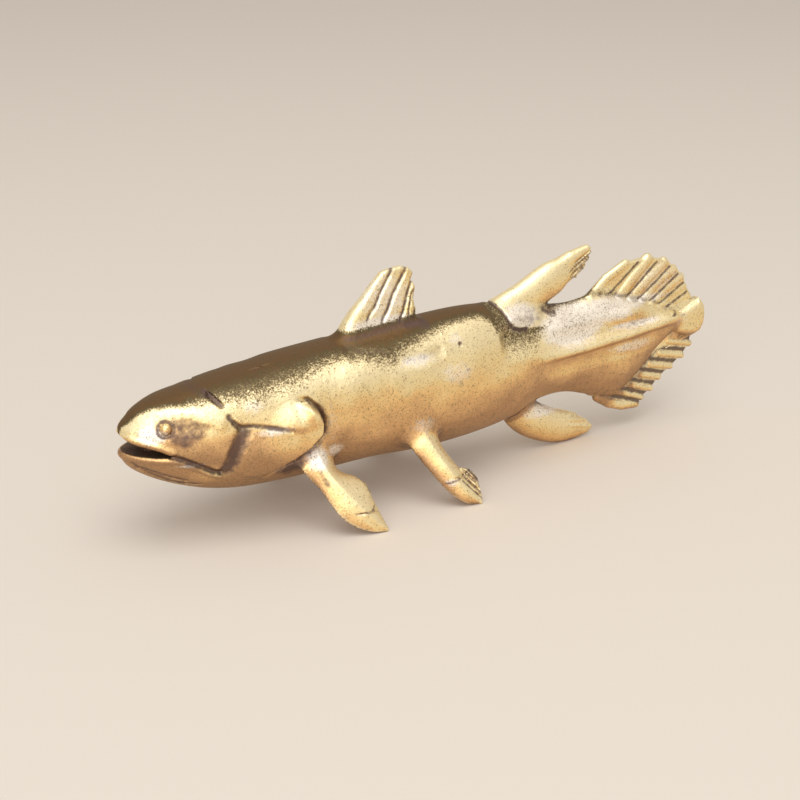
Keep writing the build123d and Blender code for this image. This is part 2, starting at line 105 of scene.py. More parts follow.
def swell(t):
    """A smooth hump that is 1 at 0 and ends at 1."""
    return np.clip(1 - t * t, 0, 1) ** 2


def step_up(t):
    """A smooth rise from 0 at 0 to 1 at 1."""
    t = np.clip(t, 0, 1)
    return t * t * (3 - 2 * t)


def line_gap(u, v, line):
    """Distance in a plane to a line of points, and the share along it."""
    best = np.full(u.shape, np.inf)
    share = np.zeros(u.shape)
    pts = np.asarray(line, float)
    for i, ((au, av), (bu, bv)) in enumerate(zip(pts, pts[1:])):
        du, dv = bu - au, bv - av
        t = np.clip(((u - au) * du + (v - av) * dv) / (du * du + dv * dv), 0, 1)
        gap = (u - au - t * du) ** 2 + (v - av - t * dv) ** 2
        closer = gap < best
        best = np.where(closer, gap, best)
        share = np.where(closer, (i + t) / (len(pts) - 1), share)
    return np.sqrt(best), share


def outline_gap(u, v, line):
    """Signed distance in a plane to a closed outline, negative inside."""
    pts = np.asarray(line, float)
    best, _ = line_gap(u, v, np.vstack([pts, pts[:1]]))
    inside = np.zeros(u.shape, bool)
    for (au, av), (bu, bv) in zip(pts, np.roll(pts, -1, axis=0)):
        if av != bv:
            crosses = ((av > v) != (bv > v)) & (u < (bu - au) * (v - av) / (bv - av) + au)
            inside ^= crosses
    return np.where(inside, -best, best)


def lobe(x, z, row):
    """A rounded lobe or hollow in side view. Row: place, radii, slope, height."""
    px, pz, along, up, slope, height = row
    return height * swell(np.hypot((x - px) / along, (z - pz - slope * (x - px)) / up))


def rod(x, y, z, start, end, start_radius, end_radius):
    """Distance to a tapered rod with round ends."""
    a = np.asarray(start, float)
    d = np.asarray(end, float) - a
    px, py, pz = x - a[0], y - a[1], z - a[2]
    t = np.clip((px * d[0] + py * d[1] + pz * d[2]) / d.dot(d), 0, 1)
    gap = np.sqrt((px - t * d[0]) ** 2 + (py - t * d[1]) ** 2 + (pz - t * d[2]) ** 2)
    return gap - (start_radius + (end_radius - start_radius) * t)


def slab(side_gap, y, half, round_over):
    """A plate of a side-view outline with rounded edges."""
    a = side_gap + round_over
    b = np.abs(y) - (half - round_over)
    return np.minimum(np.maximum(a, b), 0) + np.hypot(np.maximum(a, 0), np.maximum(b, 0)) - round_over


class Limb:
    """A lobe whose keeled sections follow a path. Rows: x, y, z, breadth, thickness."""

    def __init__(self, rows, fullness=1.7, steps=6):
        table = curve(rows, steps)
        self.spots = table[:, :3]
        self.sizes = table[:, 3:] / 2
        self.fullness = fullness
        way = np.gradient(self.spots, axis=0)
        way /= np.linalg.norm(way, axis=1)[:, None]
        across = np.array([1.0, 0, 0]) - way * way[:, :1]
        across /= np.linalg.norm(across, axis=1)[:, None]
        self.way, self.across, self.out = way, across, np.cross(way, across)
        run = np.append(0, np.cumsum(np.linalg.norm(np.diff(self.spots, axis=0), axis=1)))
        self.share = (run / run[-1])[:, None]

    def nearest(self, points):
        """For each point, where it is along the path, and its place across, out and past the end."""
        best = np.full(len(points), np.inf)
        at = np.zeros(len(points))
        for i, (a, b) in enumerate(zip(self.spots, self.spots[1:])):
            d = b - a
            t = np.clip((points - a) @ d / d.dot(d), 0, 1)
            gap = ((points - a - t[:, None] * d) ** 2).sum(1)
            closer = gap < best
            best = np.where(closer, gap, best)
            at = np.where(closer, i + t, at)
        low = np.minimum(at.astype(int), len(self.spots) - 2)
        t = (at - low)[:, None]

        def between(table):
            return table[low] * (1 - t) + table[low + 1] * t

        rel = points - between(self.spots)
        across, out, way = between(self.across), between(self.out), between(self.way)
        return (between(self.share)[:, 0], (rel * across).sum(1), (rel * out).sum(1),
                (rel * way).sum(1), between(self.sizes))

    def field(self, points, flare=0.0, middle=0.5, run=0.27):
        """Distance to the lobe, whose rear edge flares out by a share of its breadth."""
        share, a, b, past, sizes = self.nearest(points)
        n = self.fullness
        ha, hb = sizes[:, 0], sizes[:, 1]
        ha = ha * (1 + flare * swell((share - middle) / run) * step_up(a / 0.4 + 0.5))
        u, v, w = np.abs(a) / ha, np.abs(b) / hb, np.abs(past) / np.minimum(ha, hb)
        s = (u ** n + v ** n + w ** n) ** (1 / n) + 1e-6
        su, sv = (u / s) ** (n - 1) / ha, (v / s) ** (n - 1) / hb
        sw = (w / s) ** (n - 1) / np.minimum(ha, hb)
        return (s - 1) / np.sqrt(su ** 2 + sv ** 2 + sw ** 2 + 1e-9), share, a, b


# Head and flanks

LIP_LINE = [(-35.7, 11.45), (-34.8, 11.3), (-34.4, 11.18), (-33.23, 10.85), (-32, 10.4), (-31, 9.85)]
JAW_LINE = [(-35.9, 10.15), (-34.96, 10.03), (-33.99, 9.91), (-32.24, 9.76), (-31.3, 9.75), (-31, 9.7)]
MOUTH = LIP_LINE + JAW_LINE[::-1]
JAW_SEAM = [(-31, 9.8), (-30.13, 9.45), (-28.71, 8.68), (-27.21, 7.75), (-26.5, 7.5)]
JAW_PARTING = [(-36.5, 10.15)] + JAW_LINE[1:-1] + JAW_SEAM + [
    (-25.9, 7.2), (-25.2, 6.2), (-24.5, 5.2), (-24.2, 4.3), (-24.1, 2), (-36.5, 2),
]
SKULL_CREASE = [(-28.3, 15.45), (-27.5, 15.25), (-26.9, 15.1)]
SKULL_SLOT = [(-26.85, 15.05), (-26.42, 14.65), (-25.95, 14.12)]
CHEEK_SEAM = [(-25.5, 13.05), (-25, 12.3), (-24.5, 11.8)]
CHEEK_GROOVE = [(-24.25, 11.5), (-24.75, 10.53), (-25.25, 9.5), (-25.5, 8.5), (-25.9, 7.75)]
OPERCLE_GROOVE = [
    (-25.08, 12.45), (-24.27, 11.85), (-23.34, 11.97), (-22.44, 11.76), (-21.05, 11.43), (-19.8, 11.04),
]
GILL_EDGE = [
    (-17.5, 13.3), (-16.6, 12.4), (-16.05, 11.2), (-16.15, 9.95), (-17.5, 8.65), (-19.2, 7.6), (-20.7, 6.8),
    (-22.3, 6),
]
GILL_OUTLINE = [(-25, 12.9), (-23.4, 13.1), (-21.5, 13.4), (-19.4, 13.6)] + GILL_EDGE + [
    (-24.2, 6.3), (-25.3, 7.2), (-25.3, 8.6), (-24.8, 10.2), (-24.5, 11.6),
]
ORBIT = [
    (-33.2, 13.3), (-32.2, 13.75), (-30.6, 13.75), (-29.1, 13.4), (-27.7, 12.6), (-27.9, 11.9), (-29.1, 11.6),
    (-29.9, 11.2), (-30.6, 10.95), (-31.7, 11.7), (-32.8, 12.6),
]
EYE = (-31.42, 3.12, 12.62)
EYE_RADIUS = 0.56
CHIN_LINES = [
    [(-34.2, 9.1), (-33.65, 8.6), (-32.44, 7.75), (-30.73, 6.75), (-29.3, 6.3), (-28, 6.1)],
    [(-33.4, 8.6), (-32.62, 8.22), (-31.06, 7.48), (-29.5, 6.8)],
]
FAN_FOOT = [
    (19.6, 16.6), (21.4, 16.2), (23.4, 15.75), (24.7, 15.35), (26.4, 14.8), (27.8, 14.25), (28.45, 13.6),
    (29.4, 13),
]
COLLAR_SEAM = [(6.2, 18), (6.55, 17.6), (6.87, 17.1), (7.24, 16.1), (7.82, 15.4), (8.8, 15), (9.8, 14.85)]
KEEL_RIDGE = [(8, 12), (13.1, 11.8), (16.8, 11.7), (22.7, 11.9), (26.4, 12.1), (28.7, 12.2), (31.5, 12.3)]

LIP_OFFSET = 0.42  # how far over or under the mouth and its seam the lips swell most
# Rounded grooves and, with a minus, swells of the head: the line, its half width, its depth
HEAD_LINES = [
    ([(-33.6, 13.9), (-31.2, 14.3), (-28.6, 13.9), (-26.4, 12.6)], 0.9, -0.16),
    ([(-28.4, 10.4), (-26.4, 10.4)], 2.4, -0.22),
    ([(a, b + LIP_OFFSET) for a, b in LIP_LINE], 0.5, -0.2),
    ([(a, b - LIP_OFFSET) for a, b in JAW_LINE[1:] + JAW_SEAM], 0.45, -0.16),
    (CHEEK_SEAM, 0.4, 0.14), (JAW_SEAM, 0.42, 0.20), (OPERCLE_GROOVE, 0.36, 0.11),
    (CHIN_LINES[0], 0.26, 0.15), (CHIN_LINES[1], 0.26, 0.15),
]
# Rounded hollows and, with a minus, lobes: place, radii, slope, depth
GILL_LOBES = [(-18.4, 12.2, 3.2, 1.7, 0, -0.3), (-21.6, 9.1, 3.2, 2.6, 0, -0.28)]
TAIL_LOBES = [
    (24, 13.75, 5, 1.25, -0.12, -0.5), (24.5, 12.75, 4.6, 0.6, -0.05, 0.22),
    (24, 10.2, 4.4, 0.8, 0, -0.22),
]
# Soft dents and, with a minus, swells of the casting on the flanks: place, radius, depth
DENTS = [
    (-12.5, 13.6, 2.6, -0.12), (-7, 12.6, 2.4, -0.12), (1.5, 13.2, 2.6, -0.14), (-3.2, 11.4, 1.6, 0.1),
    (-14, 11, 1.5, 0.08), (-9.8, 9.6, 1.8, 0.08), (5.2, 10.4, 2.2, -0.1), (-20.5, 15.2, 2, 0.1),
    (0.4, 15.53, 0.3, 0.2), (-6.5, 13.1, 1.6, 0.1), (-2, 14, 1.8, 0.12), (4.6, 12.6, 2, 0.1),
    (-12.5, 8.6, 2.2, 0.08), (-9, 12, 1.5, 0.07), (2, 9.2, 2.2, 0.08), (-23.5, 14.6, 1.2, 0.08),
]
FLANK_CREASE = [(-11.5, 16.3), (-9, 15.7), (-6.5, 14.9), (-4, 14.8), (-2.2, 15.2)]
CREASE_DEPTH = 0.14

# Ends of the trunk, and where its head, mouth and tail stalk end or begin
SNOUT_END = -34.98
BROW_END, BROW_HEIGHT, BROW_SLOPE, LIP_HEIGHT = -34.5, 11.4, 0.5, 10.7
STALK_END = 30.9
END_ROUND = 0.5
HEAD_END = -14
MOUTH_END = -29
STALK_START = 4

# Depths worked into the head
ORBIT_DEPTH = 0.10
SOCKET_DEPTH = 0.16
SLOT_DEPTH = 0.27
CHEEK_DEPTH = 0.22
GILL_LIFT = (0.15, 0.75)
GILL_STEP = 0.42
MOUTH_DEPTH = 2.3

# Relief of the tail stalk: hollows over, under and behind, and the keel ridge's height and half width
OVER_KEEL, UNDER_KEEL, STALK_HOLLOW = 0.45, 0.36, 1.05
KEEL_HEIGHT, KEEL_HALF = 0.48, 0.9


def eye_gap(x, side, z):
    """Distance to the middle of an eye bead."""
    return np.sqrt((x - EYE[0]) ** 2 + (side - EYE[1]) ** 2 + (z - EYE[2]) ** 2)


def section(x, z):
    """The trunk's section at a place: height over its widest line, reach up or down, half width, fullness."""
    back, belly, keel, half, full = (read_rows(x, TRUNK, i) for i in range(1, 6))
    return z - keel, np.where(z > keel, back - keel, keel - belly), half, full


def trunk_base(x, side, z):
    """Distance to the plain trunk, from its table of sections."""
    height, reach, half, full = section(x, z)
    u, v = side / half, np.abs(height) / reach
    s = (u ** full + v ** full) ** (1 / full) + 1e-6
    su, sv = (u / s) ** (full - 1) / half, (v / s) ** (full - 1) / reach
    f = (s - 1) / np.sqrt(su ** 2 + sv ** 2 + 1e-9)
    f = np.where(f > 0, f * 0.9, f)
    snout = np.where(z > LIP_HEIGHT, BROW_END - BROW_SLOPE * (z - BROW_HEIGHT), SNOUT_END)
    return soft_max(soft_max(f, np.maximum(snout, SNOUT_END) - x, END_ROUND), x - STALK_END, END_ROUND)


def head_work(x, side, z):
    """How deep the skin of the head is worked: brow, orbit, cheek, lips, seams and gill cover."""
    work = ORBIT_DEPTH * step_up(-outline_gap(x, z, ORBIT) / 1.2)
    work += SOCKET_DEPTH * swell(eye_gap(x, side, z) / 1.25)
    slot, along = line_gap(x, z, SKULL_SLOT)
    work += SLOT_DEPTH * step_up(1.6 - slot / 0.24) * step_up(along / 0.5 + 0.2)
    work += CHEEK_DEPTH * step_up(1.4 - line_gap(x, z, CHEEK_GROOVE)[0] / 0.75)
    for line, width, depth in HEAD_LINES:
        work += depth * swell(line_gap(x, z, line)[0] / width)
    for row in GILL_LOBES:
        work += lobe(x, z, row)

    # The gill cover is a plate that stands off toward its free rear edge
    gill = outline_gap(x, z, GILL_OUTLINE)
    lift = GILL_LIFT[0] + GILL_LIFT[1] * step_up((x + 24.5) / 7.5)
    ahead = step_up((-17.4 - x) / 1.5) * step_up((z - 10.6) / 1.2)
    work -= lift * (step_up(-gill / 2.6) * ahead + step_up(-gill / 0.5) * (1 - ahead))
    foot = swell(np.maximum(gill, 0) / 0.55) * (gill > 0)
    return work + GILL_STEP * foot * step_up((x + 22.5) / 3) * (1 - ahead)


def stalk_work(x, z):
    """How deep the skin of the tail stalk is worked: its hollows, lobes and keel ridge."""
    crest = read_rows(x, KEEL_RIDGE)
    along = step_up((x - 9) / 5) * (1 - step_up((x - 27) / 3))
    work = OVER_KEEL * along * swell((z - crest - 1.3) / 1.5)
    work += UNDER_KEEL * along * swell((z - crest + 1.5) / 1.5)
    behind = step_up((x - 4.9) / 1.8) * (1 - step_up((x - 9.0) / 5.5))
    work += STALK_HOLLOW * behind * swell((z - 14.4) / 2.2)
    for row in TAIL_LOBES:
        work += lobe(x, z, row)
    proud = KEEL_HEIGHT * step_up((x - 8) / 7) * (1 - 0.3 * step_up((x - 27) / 3))
    return work - proud * swell((z - crest) / KEEL_HALF)


def trunk(points):
    """The trunk with the forms of head, flank and tail stalk worked into its skin."""
    x, y, z = points.T
    side = np.abs(y)
    f = trunk_base(x, side, z)
    head, tail, front = x < HEAD_END, x > STALK_START, x < MOUTH_END
    f[head] += head_work(x[head], side[head], z[head])
    f[tail] += stalk_work(x[tail], z[tail])

    # The mouth is an open wedge of even depth round a solid core
    wedge = outline_gap(x[front], z[front], MOUTH)
    f[front] = soft_max(f[front], -np.maximum(wedge, -f[front] - MOUTH_DEPTH), 0.22)

    dents = CREASE_DEPTH * swell(line_gap(x, z, FLANK_CREASE)[0] / 0.9)
    for dx, dz, size, depth in DENTS:
        dents += lobe(x, z, (dx, dz, size, size, 0, depth))
    return f + dents * (side > 1)


# Fins

SAIL_OUTLINE = [
    (-12, 16.6), (-11, 18.5), (-10.1, 19.65), (-9, 20.75), (-7.8, 22.1), (-6.7, 23.2), (-5.6, 23.45),
    (-4.4, 23.5), (-3.5, 23.2), (-3.05, 22.7), (-3.1, 21.8), (-2.8, 21.1), (-3.05, 20), (-2.7, 18.9),
    (-2.8, 18), (-2.4, 17.4), (-2.4, 16.4),
]
# Half thickness of the sail by height, and its share by how far a place lies behind the sloping front
SAIL_HALF = [(16.5, 1.5), (18.2, 1), (20.5, 0.72), (22.5, 0.52), (24, 0.34)]
SAIL_SHARE = [(-12.5, 0.75), (-10.5, 1), (-5, 0.85), (-3.5, 0.6)]
# Rows: the line of a groove, its half width and its depth
SAIL_GROOVES = [
    ([(-8.75, 18.75), (-8.51, 19.03), (-7.63, 20), (-7.1, 21.03), (-6.23, 22.32), (-5.3, 23.8)], 0.3, 0.26),
    ([(-7.1, 18.1), (-6.91, 18.41), (-6.21, 19.42), (-5.5, 20.91), (-4.62, 22.2), (-3.75, 23.6)], 0.34, 0.3),
    ([(-5.1, 17.9), (-4.77, 18.34), (-4.41, 18.93), (-3.88, 20.62), (-3.3, 21.9), (-3, 22.6)], 0.3, 0.28),
    ([(-3.95, 17.8), (-3.68, 19.28), (-3.46, 20.21), (-3.2, 21)], 0.2, 0.22),
    ([(-3.3, 17.6), (-2.93, 18.97), (-2.8, 19.8)], 0.18, 0.2),
]
REAR_DORSAL = Limb([
    (6.9, 0, 15.6, 4.4, 3), (8.4, 0, 16.6, 3.9, 2.7), (10.4, 0, 17.5, 3.7, 2.6), (12.7, 0, 18.6, 3.9, 2.6),
    (14.2, 0, 19.3, 3.8, 2.4), (15.4, 0, 19.9, 2.9, 1.9), (16.3, 0, 20.4, 1.6, 1.1),
], 2.0)
REAR_DORSAL_BLADE = [
    (14.4, 20.4), (16.6, 21.7), (18.3, 22.15), (18.8, 21.95), (18.8, 21.4), (18.5, 20.6), (17.9, 19.7),
    (17.1, 18.9), (16.2, 18.55), (14.8, 18.6),
]
# The rear dorsal fin's front ray: ends and radii. Then where its fine rays start, and the way across them
REAR_ARM = [((13.2, 0, 19.75), 0.85), ((16.3, 0, 21.12), 0.72), ((18.42, 0, 21.82), 0.42)]
TUFT_START = (15.55, 19.93)
TUFT_ACROSS = (0.5, -0.865)
ANAL = Limb([
    (9.6, 0, 6.2, 3.8, 3), (10.4, 0, 4.8, 3.9, 2.9), (11.7, 0, 3.7, 4, 2.7), (13.6, 0, 2.7, 4, 2.4),
    (15.6, 0, 2, 3.8, 2), (17.6, 0, 1.5, 3, 1.4), (19.3, 0, 1.1, 1.6, 0.9), (19.9, 0, 1, 0.7, 0.5),
], 1.9)
PECTORAL = Limb([
    (-16.9, 4.2, 7.9, 4, 2.6), (-16.7, 5.3, 6.6, 3.5, 2.3), (-16.05, 6.3, 5.2, 2.8, 2.1),
    (-15.2, 7.2, 4, 3.4, 2), (-14.3, 8, 2.9, 3.9, 1.9), (-13.3, 8.7, 1.8, 3.3, 1.7),
    (-12.5, 9.2, 1, 2.3, 1.3), (-11.7, 9.65, 0.35, 1, 0.7), (-11.4, 9.8, 0.12, 0.4, 0.3),
], 1.25)
PADDLE_FLARE = 0.42
PELVIC = Limb([
    (-4.9, 3.9, 7.8, 3.7, 2.6), (-4.5, 5, 6.3, 3.2, 2.3), (-3.9, 6, 4.9, 2.9, 2.1),
    (-3.1, 7, 3.5, 2.75, 1.9), (-2.25, 7.8, 2.2, 2.6, 1.6), (-1.35, 8.5, 1.1, 2, 1.2),
    (-0.6, 8.85, 0.4, 0.9, 0.7), (-0.4, 8.95, 0.15, 0.4, 0.3),
], 1.35)
# The pelvic fin's half-leaf: share along the fin, width
PELVIC_LEAF = [(0.56, 0), (0.62, 1.5), (0.72, 2.25), (0.84, 2.05), (0.95, 1.2), (1, 0.4)]
# Tail rays: the line of a ray and its radius
UPPER_RAYS = [
    ([(19, 16), (21.1, 17.9), (23.7, 19.25)], 0.62), ([(22.9, 15.7), (24.7, 17.7), (26.65, 19.35)], 0.8),
    ([(24.4, 15.1), (26.7, 17.2), (28.9, 18.65)], 0.74), ([(26, 14.6), (28, 16.5), (30.25, 17.65)], 0.68),
    ([(27.4, 14), (29.2, 15.5), (31.35, 16.55)], 0.64), ([(28.3, 13.4), (30, 14.75), (31.9, 15.4)], 0.54),
    ([(29.2, 12.9), (30.9, 13.85), (32.6, 14.25)], 0.5), ([(30.2, 12.3), (32, 13.1), (33.3, 13.4)], 0.34),
]
LOWER_RAYS = [
    ([(20.8, 4.4), (22.4, 3.35), (24.2, 2.7), (26.1, 2.55)], 0.62), ([(23.2, 4.5), (26.9, 3.1)], 0.4),
    ([(25, 5), (28.15, 3.95)], 0.42), ([(26.4, 5.95), (29.2, 5.1)], 0.42),
    ([(27.8, 6.9), (30.8, 6.1)], 0.42), ([(29, 8), (32.3, 7.15)], 0.44),
    ([(30.2, 9.25), (33.3, 8.4)], 0.44), ([(30.6, 10.3), (33.5, 9.7)], 0.25),
]
# A fan's web: its half thickness, and how far out it reaches as a share of the rays
UPPER_WEB = (0.34, 1.07)
LOWER_WEB = (0.16, 0.97)
LEAF = [
    (34, 13.9), (34.75, 13), (34.95, 11.9), (34.85, 10.8), (34.4, 9.95), (33.6, 9.6), (32.4, 9.7),
    (31, 10.2), (30, 10.9), (29.6, 11.8), (30.3, 12.4), (31.9, 12.95), (33.1, 13.5),
]


def sail_field(points):
    """First dorsal fin: a thick ribbed sail with a ragged rear edge."""
    x, y, z = points.T
    half = read_rows(z, SAIL_HALF) * read_rows(x - (z - 17) * 0.55, SAIL_SHARE)
    f = slab(outline_gap(x, z, SAIL_OUTLINE), y, half, np.minimum(0.8, 0.85 * half))
    for line, width, depth in SAIL_GROOVES:
        gap, share = line_gap(x, z, line)
        fade = step_up(share / 0.3) * step_up((1.02 - share) / 0.2)
        f += 0.72 * depth * fade * swell(gap / width / 1.25)
    return f


def rear_dorsal_field(points):
    """Second dorsal fin: a bulging stalk, with a tuft of fine rays behind its tip."""
    x, y, z = points.T
    f = REAR_DORSAL.field(points)[0]
    blade = slab(outline_gap(x, z, REAR_DORSAL_BLADE), y, 0.40, 0.22)
    run = (x - TUFT_START[0]) * TUFT_ACROSS[0] + (z - TUFT_START[1]) * TUFT_ACROSS[1]
    blade += 0.09 * np.cos(run * 12.5) * step_up((run + 0.3) / 0.2)
    arm = np.min([
        rod(x, y, z, start, end, start_radius, end_radius)
        for (start, start_radius), (end, end_radius) in zip(REAR_ARM, REAR_ARM[1:])], axis=0)
    return soft_min(f, soft_min(blade, arm, 0.15), 0.3)


def anal_field(points):
    """Anal fin: a deep leaf-shaped stalk with a frosted, scored upper side."""
    f, share, a, _ = ANAL.field(points)
    scores = np.sin(a * 9.0 + share * 3.0)
    return f + 0.05 * scores * step_up((share - 0.62) / 0.15) * step_up((a + 0.3) / 0.8)


def pectoral_field(points):
    """Pectoral fin: neck, paddle with a lengthwise ridge, a groove, and a leaf-shaped foot."""
    f, share, a, b = PECTORAL.field(points, PADDLE_FLARE)
    on_top = step_up(0.6 - b / 0.5) * step_up((a + 0.9) / 0.5)
    groove = 0.10 * swell((share - 0.745 - 0.07 * a) / 0.016)
    return f + (groove + 0.05 * step_up((share - 0.75) / 0.03)) * on_top


def pelvic_field(points):
    """Pelvic fin: a slim arm whose foot carries a half-leaf of fine rays."""
    f, share, a, b = PELVIC.field(points)
    wide = read_rows(share, PELVIC_LEAF)
    leaf = slab(np.maximum(a - wide, -a), b - 0.05, 0.30, 0.12)
    leaf += 0.10 * np.cos((a - 0.5) * 12.5) * step_up((a - 0.5) / 0.25) * step_up((wide - 0.2 - a) / 0.15)
    f = soft_min(f, leaf, 0.12)
    return f + 0.12 * swell((share - 0.66 - 0.03 * a) / 0.02) * (a > -0.2)


def fan_field(points, rays, half, reach):
    """A tail fan: thick tapered rays, with a web that reaches a share of their way out."""
    x, y, z = points.T
    feet = [np.subtract(line[0], np.subtract(line[-1], line[0]) * 0.25) for line, radius in rays]
    rim = [np.add(line[0], np.subtract(line[-1], line[0]) * reach) for line, radius in rays[::-1]]
    f = slab(outline_gap(x, z, feet + rim), y, half, 0.15)
    for line, radius in rays:
        gap, share = line_gap(x, z, line)
        f = soft_min(f, np.hypot(gap * 0.8, y) - 0.8 * radius * (1 - 0.15 * share), 0.1)
    return f


def upper_fan_field(points):
    """The tail fan over the stalk."""
    return fan_field(points, UPPER_RAYS, *UPPER_WEB)


def lower_fan_field(points):
    """The tail fan under the stalk."""
    return fan_field(points, LOWER_RAYS, *LOWER_WEB)


def leaf_field(points):
    """Tail tip: a smooth leaf."""
    x, y, z = points.T
    return slab(outline_gap(x, z, LEAF), y, 0.95, 0.8)


def eye_field(points):
    """Eye bead."""
    x, y, z = points.T
    return eye_gap(x, np.abs(y), z) - EYE_RADIUS


# Forms that grow from the trunk: node, low and high corner of where it counts, field, fillet
FORMS = [
    ("first_dorsal_fin", (-12.6, -3, 15.5), (-1.6, 3, 24.5), sail_field, 0.9),
    ("second_dorsal_fin", (5, -3, 13.5), (19.5, 3, 23), rear_dorsal_field, 0.8),
    ("anal_fin", (6.5, -3, -1), (21, 3, 8.5), anal_field, 0.7),
    ("pectoral_fin", (-20, -11, -1), (-10, 11, 9.5), pectoral_field, 0.9),
    ("pelvic_fin", (-7.5, -10.5, -1), (2, 10.5, 9.5), pelvic_field, 1.1),
    ("tail_fin_upper", (17.5, -2, 11.5), (34.5, 2, 20.5), upper_fan_field, 0.18),
    ("tail_fin_lower", (19.5, -2, 1.2), (34.8, 2, 12), lower_fan_field, 0.35),
    ("tail_tip", (28.5, -2.5, 9), (35.8, 2.5, 15), leaf_field, 0.5),
    ("eye", (-33, -4.5, 11), (-30, 4.5, 14.2), eye_field, 0.08),
]
FORM_PAD = 1.6
PAIRED = ("pectoral_fin", "pelvic_fin", "eye")
OWNERS = ["body", "lower_jaw", "gill_cover_left", "gill_cover_right"]
for form in FORMS:
    OWNERS += [form[0] + "_left", form[0] + "_right"] if form[0] in PAIRED else [form[0]]


def skin(points, with_owner=False):
    """The fish's skin as a field, negative inside. It also says which casting each point is on."""
    x, y, z = points.T
    total = trunk(points)
    nearest = total.copy()
    owner = np.zeros(len(points), int)
    folded = np.column_stack([x, np.abs(y), z])
    for name, low, high, form, fillet in FORMS:
        here = np.all((points > np.array(low) - FORM_PAD) & (points < np.array(high) + FORM_PAD), axis=1)
        if not here.any():
            continue
        f = form(folded[here])
        total[here] = soft_min(total[here], f, fillet)
        if with_owner:
            mine = np.zeros(len(points), bool)
            mine[here] = f < nearest[here]
            nearest[here] = np.minimum(nearest[here], f)
            if name in PAIRED:
                owner[mine & (y < 0)] = OWNERS.index(name + "_left")
                owner[mine & (y >= 0)] = OWNERS.index(name + "_right")
            else:
                owner[mine] = OWNERS.index(name)
    total += 0.16 * swell(line_gap(x, z, COLLAR_SEAM)[0] / 0.34) * (z > 14)
    total += 0.10 * swell(line_gap(x, z, FAN_FOOT)[0] / 0.6)
    total = np.maximum(total, -z)
    if not with_owner:
        return total
    free = owner == 0
    jaw = free & (x < -23.5)
    jaw[jaw] = outline_gap(x[jaw], z[jaw], JAW_PARTING) < 0
    owner[jaw] = OWNERS.index("lower_jaw")
    gill = free & ~jaw & (x < -15.5) & (np.abs(y) > 2)
    gill[gill] = outline_gap(x[gill], z[gill], GILL_OUTLINE) < 0.1
    owner[gill & (y < 0)] = OWNERS.index("gill_cover_left")
    owner[gill & (y >= 0)] = OWNERS.index("gill_cover_right")
    return total, owner


def in_chunks(work, points):
    """Runs a field over many points a part at a time."""
    return np.concatenate([work(points[i:i + CHUNK]) for i in range(0, len(points), CHUNK)])


def slopes(points, reach=0.02):
    """The field's slope at each point, by four samples round it."""
    corners = np.array([(1, -1, -1), (-1, 1, -1), (-1, -1, 1), (1, 1, 1)], float)
    total = np.zeros_like(points)
    for corner in corners:
        total += in_chunks(skin, points + corner * reach)[:, None] * corner
    return total / (4 * reach)


# From the field to a mesh

GRID_LOW = (-36.2, -11, -0.8)
GRID_HIGH = (36.2, 11, 24.8)
BLOCK = 6  # grid cells along the side of a block


def sample_grid(pitch):
    """Field values on a grid, worked out only near the skin."""
    low, high = np.array(GRID_LOW), np.array(GRID_HIGH)
    blocks = np.ceil((high - low) / (pitch * BLOCK)).astype(int)
    centres = np.stack(np.meshgrid(*[np.arange(n) for n in blocks], indexing="ij"), -1).reshape(-1, 3)
    coarse = in_chunks(skin, low + (centres + 0.5) * BLOCK * pitch)
    values = coarse.reshape(blocks)
    for axis in range(3):
        values = np.repeat(values, BLOCK, axis)
    values = np.pad(values, ((0, 1), (0, 1), (0, 1)), mode="edge").astype(np.float32)
    near = np.zeros(values.shape, bool)
    for start in centres[np.abs(coarse) < BLOCK * pitch * 1.3] * BLOCK:
        near[tuple(slice(i, i + BLOCK + 1) for i in start)] = True
    spots = np.argwhere(near)
    values[near] = in_chunks(skin, low + spots * pitch)
    return low, values


def surface_nets(low, values, pitch):
    """One vertex in each grid cell that the skin crosses, and a quad over each crossed grid edge."""
    inside = values < 0
    shape = np.array(values.shape) - 1
    corners = np.array(list(np.ndindex(2, 2, 2)))
    count = np.zeros(shape, np.int8)
    for i, j, k in corners:
        count += inside[i:i + shape[0], j:j + shape[1], k:k + shape[2]]
    cells = np.argwhere((count > 0) & (count < 8))
    at_corner = np.array([values[tuple((cells + c).T)] for c in corners]).T
    place = np.zeros((len(cells), 3))
    crossings = np.zeros(len(cells))
    for a in range(8):
        for b in range(a + 1, 8):
            if np.abs(corners[a] - corners[b]).sum() == 1:
                va, vb = at_corner[:, a], at_corner[:, b]
                cross = (va < 0) != (vb < 0)
                t = np.where(cross, va / np.where(cross, va - vb, 1), 0)[:, None]
                place += np.where(cross[:, None], corners[a] + t * (corners[b] - corners[a]), 0)
                crossings += cross
    points = low + (cells + place / crossings[:, None]) * pitch
    ids = np.full(shape, -1, np.int32)
    ids[tuple(cells.T)] = np.arange(len(cells))
    quads = []
    step = np.eye(3, dtype=int)
    for axis in range(3):
        u, v = [(1, 2), (2, 0), (0, 1)][axis]
        first = np.take(inside, range(0, shape[axis]), axis)
        second = np.take(inside, range(1, shape[axis] + 1), axis)
        for way, crossed in ((1, first & ~second), (-1, ~first & second)):
            spots = np.argwhere(crossed)
            spots = spots[((spots > 0) & (spots < shape))[:, [u, v]].all(1)]
            ring = [
                ids[tuple((spots + du * step[u] + dv * step[v]).T)]
                for du, dv in ((-1, -1), (0, -1), (0, 0), (-1, 0))]
            quads.append(np.array(ring[::way]).T)
    quads = np.concatenate(quads)
    return points, quads[(quads >= 0).all(1)]


